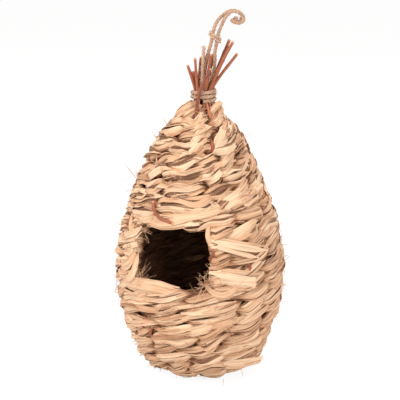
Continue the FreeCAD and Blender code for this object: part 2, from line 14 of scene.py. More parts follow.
import bpy
import numpy as np
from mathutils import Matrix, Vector


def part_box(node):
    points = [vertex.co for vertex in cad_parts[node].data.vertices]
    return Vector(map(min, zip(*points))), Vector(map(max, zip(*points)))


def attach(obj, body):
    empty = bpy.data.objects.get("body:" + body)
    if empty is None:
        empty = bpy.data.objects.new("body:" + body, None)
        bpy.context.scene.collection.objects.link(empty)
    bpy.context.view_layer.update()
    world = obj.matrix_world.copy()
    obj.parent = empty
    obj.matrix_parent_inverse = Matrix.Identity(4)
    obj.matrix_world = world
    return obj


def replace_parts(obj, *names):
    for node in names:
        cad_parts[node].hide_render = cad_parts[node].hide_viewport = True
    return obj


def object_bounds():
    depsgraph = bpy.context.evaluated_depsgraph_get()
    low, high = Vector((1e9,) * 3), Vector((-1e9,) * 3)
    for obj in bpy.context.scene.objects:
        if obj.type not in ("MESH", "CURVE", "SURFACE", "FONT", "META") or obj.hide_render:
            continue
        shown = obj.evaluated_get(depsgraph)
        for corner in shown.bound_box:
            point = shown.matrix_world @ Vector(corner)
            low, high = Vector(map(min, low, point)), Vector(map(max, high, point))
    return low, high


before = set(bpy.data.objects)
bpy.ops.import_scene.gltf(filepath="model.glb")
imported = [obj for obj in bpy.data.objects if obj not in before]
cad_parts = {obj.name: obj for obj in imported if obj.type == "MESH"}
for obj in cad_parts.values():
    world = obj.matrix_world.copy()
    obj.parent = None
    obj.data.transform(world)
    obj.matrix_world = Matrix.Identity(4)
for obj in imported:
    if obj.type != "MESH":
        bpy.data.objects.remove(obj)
CAD_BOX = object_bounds()

LOG = logging.getLogger("nest_pod")
MM = 0.001
BODY = "root"

Chance = np.random.Generator
Material = bpy.types.Material
Socket = bpy.types.NodeSocket
Tree = bpy.types.NodeTree

UP = np.array([0.0, 0.0, 1.0])
LEVEL = np.array([1, 1, 0])  # keeps only the level part of a vector
STAKES = 12
STAKE_STEP = 360.0 / STAKES
FRONT = -90.0  # azimuth of the stake that is cut at the entrance
FAN_AZIMUTH = 19.0  # the tips and the loop spread in the upright plane with this azimuth

# How far each stake's tip lies to the right, to the front and above the binding.
TIPS = (
    (5.5, 9.5, 14.1), (5.6, 5.0, 24.5), (21.5, 6.6, 33.7), (24.8, 1.6, 24.3),
    (18.9, -2.6, 30.2), (19.2, -6.8, 33.5), (10.6, -7.6, 33.6), (6.2, -8.6, 36.0),
    (-1.8, -6.4, 20.8), (-7.8, -4.0, 10.5), (-11.8, 0.6, 15.6), (-6.2, 4.6, 21.4),
)
# The points of the hanging loop, in the same terms.
LOOP_ROUTE = (
    (-1.6, -0.4, -7.0), (-1.6, -0.4, 1.0), (-0.7, -0.8, 10.0), (1.5, -0.9, 19.0),
    (4.3, -0.6, 27.0), (6.3, -0.3, 34.5), (7.2, -0.4, 41.0), (9.4, -1.2, 47.0),
    (14.2, -1.5, 52.2), (20.4, -1.8, 55.4), (25.9, -1.9, 54.2), (29.2, -2.3, 50.6),
    (28.6, -3.1, 47.4), (25.6, -3.5, 46.2), (20.5, -3.3, 47.9), (20.5, 3.3, 47.9),
    (25.6, 3.5, 46.2), (28.6, 3.1, 47.4), (29.2, 2.3, 50.6), (26.0, 1.8, 54.3),
    (20.6, 1.5, 55.2), (16.0, 1.5, 51.0), (12.9, 1.0, 44.6), (10.4, 0.3, 37.6),
    (9.2, 0.2, 31.0), (8.2, 0.1, 24.5), (8.4, 0.0, 18.5), (7.8, 0.2, 11.8),
    (5.0, 0.3, 5.0), (2.0, -0.4, -1.5), (2.0, -0.4, -7.0),
)
# The points of the cut tail of the binding.
TAIL_ROUTE = ((-0.4, 2.2, -7.0), (-0.4, 2.2, 1.0), (-0.9, 2.2, 10.0), (-0.3, 1.9, 19.6), (0.3, 1.9, 29.6))
# Where a stake stands out between two lumps of a row: azimuth, height and lift of its middle.
GLIMPSES = (
    (-54.5, 177, 4.8), (-101, 158, 4.8), (-2, 163, 4.8), (-34, 115.5, 4.8), (-35.5, 93, 4.8),
    (-62, 107, 4.8), (-117, 48, 4.3), (-110.5, 42.5, 4.2), (-67.5, 21.5, 4.6), (70, 96, 4.8),
    (128, 62, 4.8), (160, 140, 4.8), (40, 150, 4.8),
)
# The split twig ends under the binding, from their thin ends: as the tips are measured.
NECK_SLIVERS = (
    ((1.6, 6.3, -9.4), (3.5, 8.9, -16.2), (5.6, 12.0, -22.0)),
    ((-4.6, 6.6, -12.0), (-6.4, 9.9, -19.0), (-8.6, 12.2, -25.5)),
)

# The stakes left of the entrance are pulled aside by up to this many degrees. The pull grows up
# to the belly, is full to the shoulder and has gone where the stakes pair up.
DOOR_SPREAD = 9.0
BELLY_HEIGHT, SHOULDER_HEIGHT, PAIRING_HEIGHT = 60.5, 120.0, 168.0
SPREAD_ROUNDING = 0.52  # share of the growth over which it levels off

PRESSED_HEIGHT = 2.0  # grass below this is pressed flat against the ground
PAINTED_SHADE_TONE = 0.04  # painted shade: the tone of grass on the wall's inner face and deep between lumps
SHARP_ANGLE = math.radians(55)
ANY_MAP_START = 500  # each piece starts anywhere along its pattern


def linear(hex_colour: str) -> tuple[float, float, float, float]:
    """Turns an sRGB hex colour into a linear colour with full alpha."""
    channels = [int(hex_colour[start : start + 2], 16) / 255 for start in (1, 3, 5)]
    levels = [c / 12.92 if c <= 0.04045 else ((c + 0.055) / 1.055) ** 2.4 for c in channels]
    return (levels[0], levels[1], levels[2], 1.0)


def add_node(tree: Tree, kind: str, inputs: dict | None = None, **settings: object) -> bpy.types.Node:
    """Adds a node with its settings, and fills or links its inputs.

    Args:
        tree: the node tree that gets the node.
        kind: the name of the node's type.
        inputs: socket name or number to a value, or to the output socket that feeds it.
        settings: the node's own properties.

    Returns:
        The new node.
    """
    node = tree.nodes.new(kind)
    for name, value in settings.items():
        setattr(node, name, value)
    for socket, value in (inputs or {}).items():
        if isinstance(value, Socket):
            tree.links.new(value, node.inputs[socket])
        else:
            node.inputs[socket].default_value = value
    return node


def new_material(name: str) -> tuple[Material, Tree]:
    """An empty node material, and its tree."""
    material = bpy.data.materials.new(name)
    material.use_nodes = True
    material.node_tree.nodes.clear()
    return material, material.node_tree


@dataclass(frozen=True)
class PlantFinish:
    """What the dried plant materials share: a dull gleam, and grain along each piece."""

    roughness: float
    ior: float
    relief: float  # depth of the grain, in millimetres
    relief_strength: float

    def _start(self, name: str) -> tuple[Material, Tree, Socket, Socket]:
        """A new material and its tree, with each piece's own map and tone."""
        material, tree = new_material(name)
        spot = add_node(tree, "ShaderNodeUVMap", uv_map="blade").outputs["UV"]
        tone = add_node(tree, "ShaderNodeAttribute", attribute_name="tone").outputs["Fac"]
        return material, tree, spot, tone

    def _grain(self, tree: Tree, spot: Socket, length: float, spacing: float, detail: float) -> Socket:
        """Noise drawn out along a piece: length and spacing are its grain, in millimetres."""
        scale = (1 / length, 1 / spacing, 1.0)
        drawn = add_node(tree, "ShaderNodeMapping", {"Vector": spot, "Scale": scale})
        inputs = {"Vector": drawn.outputs["Vector"], "Scale": 1.0, "Detail": detail}
        return add_node(tree, "ShaderNodeTexNoise", inputs).outputs["Fac"]

    def _colour(self, tree: Tree, grain: Socket, gain: float, tone: Socket, stops: tuple) -> Socket:
        """The colour of a piece, from its grain and its tone over (position, colour) stops."""
        shade = add_node(tree, "ShaderNodeMath", {0: grain, 1: gain, 2: tone}, operation="MULTIPLY_ADD")
        ramp = add_node(tree, "ShaderNodeValToRGB", {"Fac": shade.outputs[0]})
        elements = ramp.color_ramp.elements
        while len(elements) < len(stops):
            elements.new(0.5)
        for element, (position, colour) in zip(elements, stops):
            element.position = position
            element.color = linear(colour)
        return ramp.outputs["Color"]

    def _surface(self, tree: Tree, colour: Socket, grain: Socket) -> None:
        """Gives the material its colour, its gleam and the relief of its grain."""
        inputs = {"Height": grain, "Distance": self.relief * MM, "Strength": self.relief_strength}
        bump = add_node(tree, "ShaderNodeBump", inputs)
        inputs = {"Base Color": colour, "Normal": bump.outputs["Normal"]}
        inputs.update({"Roughness": self.roughness, "IOR": self.ior})
        shader = add_node(tree, "ShaderNodeBsdfPrincipled", inputs)
        add_node(tree, "ShaderNodeOutputMaterial", {"Surface": shader.outputs["BSDF"]})


@dataclass(frozen=True)
class FlattenedGrass(PlantFinish):
    """Sun-dried wild grass leaves, flattened and twisted by hand.

    The dry leaf is matt with a slight waxy gleam on its ridges, cream to tan by each blade's own
    tone, and darkened with painted shade on the wall's inner face and between lumps, with fine veins that
    run its whole length.
    """

    roughness: float = 0.62
    ior: float = 1.45
    relief: float = 0.12
    relief_strength: float = 0.9
    bleached: str = "#edc8a4"
    straw: str = "#dcac85"
    tan: str = "#bb8762"
    brown: str = "#7f5539"
    shaded: str = "#2a1e16"
    # veins lie about 0.4 mm apart; they are drawn twice as coarse so that they show
    vein_spacing: float = 0.8
    streak_length: float = 26.0
    stain_length: float = 18.2
    stain_spacing: float = 4.0
    fleck_length: float = 7.0
    fleck_spacing: float = 1.28

    def material(self) -> Material:
        """Builds the material: stains set the shade, veins darken it and brown flecks spot it."""
        material, tree, spot, tone = self._start("sun_dried_grass")
        veins = self._grain(tree, spot, self.streak_length, self.vein_spacing, 3.0)
        stains = self._grain(tree, spot, self.stain_length, self.stain_spacing, 2.0)
        flecks = self._grain(tree, spot, self.fleck_length, self.fleck_spacing, 2.0)
        dark = ((0.08, self.shaded), (0.28, self.brown), (0.46, self.tan))
        colour = self._colour(tree, stains, 0.55, tone, (*dark, (0.74, self.straw), (1.0, self.bleached)))
        tint = add_node(tree, "ShaderNodeMapRange", {"Value": veins, 1: 0.3, 2: 0.62, 3: 0.66, 4: 1.04})
        inputs = {0: colour, "Scale": tint.outputs["Result"]}
        veined = add_node(tree, "ShaderNodeVectorMath", inputs, operation="SCALE")
        spots = add_node(tree, "ShaderNodeMapRange", {"Value": flecks, 1: 0.68, 2: 0.8, 3: 0.0, 4: 0.5})
        inputs = {"Factor": spots.outputs["Result"], "A": veined.outputs["Vector"], "B": linear(self.brown)}
        stained = add_node(tree, "ShaderNodeMix", inputs, data_type="RGBA")
        self._surface(tree, stained.outputs["Result"], veins)
        return material


@dataclass(frozen=True)
class TwigBark(PlantFinish):
    """Thin bark of young, unpeeled shoots, dried.

    It is red-brown with a soft satin gleam, ribbed lengthwise where it has shrunk, and paler
    and more orange where the skin has rubbed off.
    """

    roughness: float = 0.48
    ior: float = 1.48
    relief: float = 0.15
    relief_strength: float = 0.8
    dark: str = "#5f2f1c"
    bark: str = "#9a5131"
    rubbed: str = "#c07c53"
    wood: str = "#cb9a75"
    rib_spacing: float = 0.9
    streak_length: float = 14.0

    def material(self) -> Material:
        """Builds the material; a tone near 1 marks the sawn wood of a cut end."""
        material, tree, spot, tone = self._start("twig_bark")
        ribs = self._grain(tree, spot, self.streak_length, self.rib_spacing, 3.0)
        stops = ((0.25, self.dark), (0.6, self.bark), (0.95, self.rubbed), (1.0, self.wood))
        self._surface(tree, self._colour(tree, ribs, 0.8, tone, stops), ribs)
        return material


@dataclass(frozen=True)
class SpunJute(PlantFinish):
    """Jute twine, spun from long bast fibres and laid up in three strands.

    It is matt and hairy, grey-tan, with darker fibres among pale ones along each strand.
    """

    roughness: float = 0.82
    ior: float = 1.47
    relief: float = 0.2
    relief_strength: float = 1.0
    pale: str = "#dbbd9f"
    tan: str = "#b8937a"
    dark: str = "#876350"
    fibre_spacing: float = 0.45
    fibre_length: float = 6.0

    def material(self) -> Material:
        """Builds the material, with fibres along each strand's own map."""
        material, tree, spot, tone = self._start("spun_jute")
        fibres = self._grain(tree, spot, self.fibre_length, self.fibre_spacing, 4.0)
        stops = ((0.3, self.dark), (0.6, self.tan), (0.95, self.pale))
        self._surface(tree, self._colour(tree, fibres, 0.9, tone, stops), fibres)
        return material


@dataclass
class MeshParts:
    """Swept strips and rods gathered into one mesh, with a map and a tone for each."""

    points: list = field(default_factory=list)
    faces: list = field(default_factory=list)
    maps: list = field(default_factory=list)
    tones: list = field(default_factory=list)
    count: int = 0

    def add_sweep(
        self, rings: np.ndarray, along: np.ndarray, around: np.ndarray, tone: float | np.ndarray
    ) -> None:
        """Adds a closed sweep.

        Args:
            rings: corners of each section, counter-clockwise about the sweep's direction.
            along: distance of each section along the sweep.
            around: distance of each corner round the section, with one more for the closing.
            tone: how light the piece is, from 0 to 1, for the whole or for each section.
        """
        stations, ring = rings.shape[:2]
        index = self.count + np.arange(stations * ring).reshape(stations, ring)
        closed = np.concatenate([index, index[:, :1]], axis=1)
        spots = np.stack(np.meshgrid(along, around, indexing="ij"), axis=-1)
        step = np.arange(ring // 2 - 1)
        cap = np.stack([step, step + 1, ring - 2 - step, ring - 1 - step], axis=-1)
        for grid, store in ((closed, self.faces), (spots, self.maps)):
            corners = [grid[:-1, :-1], grid[:-1, 1:], grid[1:, 1:], grid[1:, :-1]]
            for quads in (np.stack(corners, axis=2), grid[0][cap[:, ::-1]], grid[-1][cap]):
                store.append(quads.reshape(-1, 4, *grid.shape[2:]))
        self.points.append(rings.reshape(-1, 3))
        levels = np.broadcast_to(np.asarray(tone, np.float32), stations)
        self.tones.append(np.repeat(levels, ring))
        self.count += stations * ring

    def add_whisker(
        self, root: np.ndarray, heading: np.ndarray, length: float, rng: Chance,
        width: float = 0.34, curl: float = 1.6,
    ) -> None:
        """Adds one loose fibre that leaves its root and curls.

        Args:
            root: where it starts.
            heading: the way it sets out.
            length: its length.
            rng: source of its curl.
            width: how wide it is at its root.
            curl: how far it turns over its length, in radians, more or less.
        """
        steps = 9
        bend = rng.normal(0, 1.0, 3)
        way = unit(heading)
        line = [root]
        for _ in range(steps):
            way = unit(way + bend * curl / steps)
            line.append(line[-1] + way * length / steps)
        line = np.array(line)
        sides, _ = carried_frames(line)
        widths = width * np.linspace(1, 0.45, steps + 1)
        rings, across = blade_rings(line, sides, widths, 0.0, 0.0, width * 0.6)
        along = rng.uniform(0, ANY_MAP_START) + np.arange(steps + 1) * length / steps
        self.add_sweep(rings, along, across, float(rng.uniform(0.2, 0.6)))

    def build(self, name: str, material: Material, slot: str) -> bpy.types.Object:
        """Makes the object in the frame's metres and lets it ride on the pod.

        Whatever lies within the pressed height of the ground is squeezed flat above it, as the
        pod's weight does.

        Args:
            name: the piece's name.
            material: its material.
            slot: not used.

        Returns:
            The new object.
        """
        mesh = bpy.data.meshes.new(name)
        faces = np.concatenate(self.faces)
        points = np.concatenate(self.points)
        low = np.minimum(points[:, 2] - PRESSED_HEIGHT, 0)
        points[:, 2] = np.where(low < 0, PRESSED_HEIGHT * np.exp(low / PRESSED_HEIGHT), points[:, 2])
        mesh.from_pydata((points * MM).tolist(), [], faces.tolist())
        layer = mesh.uv_layers.new(name="blade")
        layer.uv.foreach_set("vector", np.concatenate(self.maps).astype(np.float32).ravel())
        tones = mesh.attributes.new("tone", "FLOAT", "POINT")
        tones.data.foreach_set("value", np.concatenate(self.tones))
        mesh.polygons.foreach_set("use_smooth", np.ones(len(faces), bool))
        mesh.set_sharp_from_angle(angle=SHARP_ANGLE)
        mesh.materials.append(material)
        piece = bpy.data.objects.new(name, mesh)
        bpy.context.scene.collection.objects.link(piece)
        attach(piece, BODY)
        LOG.info("%s: %d faces", name, len(faces))
        return piece


def unit(vectors: np.ndarray) -> np.ndarray:
    """The vectors at length 1."""
    return vectors / np.maximum(np.linalg.norm(vectors, axis=-1, keepdims=True), 1e-9)


def polar(radius: float, azimuth: float, height: float) -> np.ndarray:
    """The point at a radius, an azimuth in degrees and a height."""
    angle = math.radians(azimuth)
    return np.array([radius * math.cos(angle), radius * math.sin(angle), height])


def rounded_step(share: float) -> float:
    """A ramp from 0 to 1 over shares 0 to 1, with its upper corner rounded."""
    if share <= 1 - SPREAD_ROUNDING:
        return max(0.0, share)
    if share >= 1 + SPREAD_ROUNDING:
        return 1.0
    return 1 - (1 + SPREAD_ROUNDING - share) ** 2 / (4 * SPREAD_ROUNDING)


def spread(azimuths: np.ndarray, height: float) -> np.ndarray:
    """The azimuths after the stakes left of the entrance are pulled aside.

    The pull is full between the belly and the shoulder and fades out towards the base, the
    crown, the entrance's right edge and the back.
    """
    azimuths = np.asarray(azimuths, float)
    from_edge = (azimuths - (FRONT - STAKE_STEP) + 180.0) % 360.0 - 180.0
    reach = np.where(from_edge > 0, 2 * STAKE_STEP, 4 * STAKE_STEP)
    share = np.clip(np.abs(from_edge) / reach, 0, 1)
    below = rounded_step(height / BELLY_HEIGHT)
    above = rounded_step((PAIRING_HEIGHT - height) / (PAIRING_HEIGHT - SHOULDER_HEIGHT))
    return azimuths - DOOR_SPREAD * np.cos(math.pi / 2 * share) ** 2 * below * above


def resampled(line: np.ndarray, spacing: float) -> np.ndarray:
    """Points at even distances along a polyline."""
    runs = np.linalg.norm(np.diff(line, axis=0), axis=1)
    at = np.concatenate([[0], np.cumsum(runs)])
    marks = np.linspace(0, at[-1], max(3, round(at[-1] / spacing) + 1))
    return np.stack([np.interp(marks, at, line[:, axis]) for axis in range(3)], axis=1)


def spline_line(route: list) -> np.ndarray:
    """The points of a smooth spline, from its control points, all in millimetres."""
    curve = bpy.data.curves.new("route", "CURVE")
    curve.dimensions = "3D"
    spline = curve.splines.new("NURBS")
    spline.points.add(len(route) - 1)
    for point, place in zip(spline.points, route):
        point.co = (*(float(value) for value in place), 1.0)
    spline.order_u = 3
    spline.use_endpoint_u = True
    spline.resolution_u = 12
    carrier = bpy.data.objects.new("route", curve)
    bpy.context.scene.collection.objects.link(carrier)
    mesh = bpy.data.meshes.new_from_object(carrier)
    line = np.array([vertex.co for vertex in mesh.vertices], float)
    bpy.data.objects.remove(carrier)
    bpy.data.curves.remove(curve)
    bpy.data.meshes.remove(mesh)
    return line


def carried_frames(line: np.ndarray) -> tuple[np.ndarray, np.ndarray]:
    """Two directions square to a line, which turn as little as they can along it."""
    tangents = unit(np.gradient(line, axis=0))
    sides = np.zeros_like(line)
    side = UP if abs(tangents[0][2]) < 0.8 else np.array([1.0, 0.0, 0.0])
    for index, tangent in enumerate(tangents):
        side = side - tangent * side.dot(tangent)
        side = side / np.linalg.norm(side)
        sides[index] = side
    return sides, np.cross(tangents, sides)


def rod_rings(line: np.ndarray, radii: np.ndarray, corners: int) -> np.ndarray:
    """Round sections along a line, one radius for each point."""
    sides, ups = carried_frames(line)
    angles = np.arange(corners) * 2 * math.pi / corners
    spokes = sides[:, None] * np.cos(angles)[None, :, None]
    spokes = spokes + ups[:, None] * np.sin(angles)[None, :, None]
    return line[:, None] + spokes * radii[:, None, None]


def turned(first: np.ndarray, second: np.ndarray, angle: np.ndarray) -> np.ndarray:
    """Directions that turn from the first ones towards the second by an angle at each point."""
    return first * np.cos(angle)[:, None] + second * np.sin(angle)[:, None]


def rolled(line: np.ndarray, normals: np.ndarray, angle: np.ndarray) -> np.ndarray:
    """Directions square to a line after they roll about it by an angle at each point."""
    return turned(normals, np.cross(unit(np.gradient(line, axis=0)), normals), angle)


def ripple(rng: Chance, way: np.ndarray, least: float, most: float) -> np.ndarray:
    """A sine along a piece, of least to most radians in all, with any start."""
    return np.sin(way * rng.uniform(least, most) + rng.uniform(0, 6))


def with_painted_shade(tone: float, sun: np.ndarray) -> np.ndarray:
    """The tone along a blade: its own where the painted light is full, and painted shade on the wall's
    inner face and deep between lumps.
    """
    return tone * sun + PAINTED_SHADE_TONE * (1 - sun)


def slow_waves(rng: Chance, turns: np.ndarray, orders: range) -> np.ndarray:
    """A smooth random value between about -1 and 1 that closes on itself.

    Args:
        rng: source of the random phases.
        turns: angle round the ring, in radians.
        orders: how many waves each part makes round the ring.

    Returns:
        One value for each angle.
    """
    total = np.zeros_like(turns)
    for order in orders:
        total += np.sin(order * turns + rng.uniform(0, 2 * math.pi)) * rng.uniform(0.4, 1.0)
    return total / math.sqrt(len(orders) * 0.5)


def blade_rings(
    line: np.ndarray, normals: np.ndarray, width: np.ndarray, curl: float, crease: float, thickness: float
) -> tuple[np.ndarray, np.ndarray]:
    """Sections of a flat, creased blade.

    Args:
        line: the blade's middle line.
        normals: where the blade's upper face points.
        width: its width at each point of the line.
        curl: how much it wraps round what it lies on, as one over a radius.
        crease: depth of the fold along its middle.
        thickness: how thick the leaf is.

    Returns:
        The sections, and the distance of each corner across the blade.
    """
    tangents = unit(np.gradient(line, axis=0))
    across = unit(np.cross(tangents, normals))
    upward = np.cross(across, tangents)
    lanes = np.linspace(-0.5, 0.5, 5)
    offsets = lanes[None] * width[:, None]
    heights = -curl / 2 * offsets**2 + crease * (0.5 - np.abs(lanes * 2))[None]
    top = line[:, None] + across[:, None] * offsets[..., None] + upward[:, None] * heights[..., None]
    bottom = top - upward[:, None] * thickness
    rings = np.concatenate([top, bottom[:, ::-1]], axis=1)
    over = np.concatenate([lanes, lanes[::-1], lanes[:1]]) * float(width.mean())
    return rings, over


@dataclass(frozen=True)
class BladeCut:
    """How the grass of a row was picked and split, and how it lies: sizes in millimetres."""

    width: tuple[float, float]
    length: tuple[float, float]
    lanes: int
    inner_lanes: int
    fibres: int
    whiskers: int
    loose: float
    own_turns: int
    climb: float
    thickness: float = 0.24


class Cut(Enum):
    """The kinds of handful that the weaver used, from the base to the crown."""

    FINE = BladeCut((1.5, 3.9), (45, 110), 11, 5, 15, 44, 0.10, 2, 0.30)
    MIXED = BladeCut((2.4, 5.4), (40, 95), 8, 5, 8, 34, 0.10, 1, 0.30)
    BROAD = BladeCut((3.2, 6.8), (34, 75), 7, 4, 6, 24, 0.12, 1, 0.30)
    LEVEL = BladeCut((3.0, 6.2), (45, 95), 7, 4, 6, 24, 0.10, 1, 0.08)


@dataclass
class RowPlace:
    """Where one row lies on the wall, read from the frame."""

    name: str
    radius: float
    height: float
    outward: np.ndarray = field(default_factory=lambda: np.zeros(2))
    onward: np.ndarray = field(default_factory=lambda: np.zeros(2))
    pitch: float = 0.0

    def directions(self, spoke: np.ndarray) -> tuple[np.ndarray, np.ndarray]:
        """The wall's outward and onward directions where a spoke meets the row."""
        return tuple(spoke * way[0] + UP * way[1] for way in (self.outward, self.onward))


class Wall:
    """The pod's wall: its rows from the base to the crown, measured on the frame's nodes."""

    BANDS = (("base_row", 3), ("lower_row", 9), ("door_row", 5), ("upper_row", 5), ("crown_row", 3))
    FIRST_UPRIGHT = 4  # the rows before this one lie in the base

    def __init__(self) -> None:
        """Measures each row's middle, then the wall's directions there."""
        self.rows = [
            self._measure(f"{band}_{number}")
            for band, count in self.BANDS
            for number in range(1, count + 1)
        ]
        line = np.array([(row.radius, row.height) for row in self.rows])
        onward = unit(np.gradient(line, axis=0))
        steps = np.linalg.norm(np.diff(line, axis=0), axis=1)
        steps = np.concatenate([steps[:1], (steps[1:] + steps[:-1]) / 2, steps[-1:]])
        for row, direction, step in zip(self.rows, onward, steps):
            row.onward = direction
            row.outward = np.array([direction[1], -direction[0]])
            row.pitch = float(step)
        upright = self.rows[self.FIRST_UPRIGHT :]
        self.radii, self.heights = line[self.FIRST_UPRIGHT :].T
        self.outward = np.array([row.outward for row in upright]).T

    @staticmethod
    def _measure(name: str) -> RowPlace:
        """The mean radius and height of a node's corners."""
        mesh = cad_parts[name].data
        corners = np.zeros(len(mesh.vertices) * 3, np.float32)
        mesh.vertices.foreach_get("co", corners)
        corners = corners.reshape(-1, 3) / MM
        radius = float(np.hypot(corners[:, 0], corners[:, 1]).mean())
        return RowPlace(name, radius, float(corners[:, 2].mean()))

    def radius_at(self, height: float) -> float:
        """The wall's middle radius at a height above the base's corner."""
        return float(np.interp(height, self.heights, self.radii))

    def outward_at(self, azimuth: float, height: float) -> np.ndarray:
        """The wall's outward direction at an azimuth and a height."""
        level = [np.interp(height, self.heights, part) for part in self.outward]
        return unit(polar(level[0], azimuth, level[1]))

    def spot(self, azimuth: float, height: float, lift: float = 0.0) -> np.ndarray:
        """The point at a lift off the middle of the wall."""
        return polar(self.radius_at(height), azimuth, height) + self.outward_at(azimuth, height) * lift


@dataclass
class BundlePath:
    """The way of one twisted bundle, which closes on itself.

    It holds, for each station, the centre, the wall's outward and onward directions, the
    bundle's own turned directions, its half sizes and how far out of the wall it lies.
    """

    centre: np.ndarray
    out: np.ndarray
    along: np.ndarray
    facing: np.ndarray
    lengthwise: np.ndarray
    thick: np.ndarray
    tall: np.ndarray
    offset: np.ndarray

    SUN_DEPTHS = (0.1, 3.6)  # how far out of the wall the painted light starts, and is full; nearer in is painted shade

    def station_length(self) -> float:
        """The mean distance between neighbouring stations."""
        return float(np.linalg.norm(np.diff(self.centre, axis=0), axis=1).mean())

    def surface(
        self, stations: np.ndarray, angle: np.ndarray, share: np.ndarray
    ) -> tuple[np.ndarray, np.ndarray, np.ndarray]:
        """Points on the bundle, and the directions that face out of it there.

        Args:
            stations: numbers of the stations, which wrap round.
            angle: where on the section each point lies, in radians from the bundle's face.
            share: how far from the centre it lies, as a share of the section's half size.

        Returns:
            The points, their outward directions, and how much painted light each gets, from 0,
            all painted shade, on the wall's inner face and between lumps, to 1 on its outer face.
        """
        pick = stations % len(self.centre)
        way = turned(self.facing[pick], self.lengthwise[pick], angle)
        out, along = self.out[pick], self.along[pick]
        outward = (way * out).sum(1, keepdims=True)
        upward = (way * along).sum(1, keepdims=True)
        thick, tall = self.thick[pick, None], self.tall[pick, None]
        reach = out * (thick * outward) + along * (tall * upward)
        points = self.centre[pick] + reach * share[:, None]
        depth = self.offset[pick] + (thick * outward)[:, 0] * share
        # painted light, from painted shade on the wall's inner side and between lumps to full on its outer
        # side
        shadow, light = self.SUN_DEPTHS
        sun = np.clip((depth - shadow) / (light - shadow), 0, 1)
        return points, unit(out * (outward / thick) + along * (upward / tall)), sun


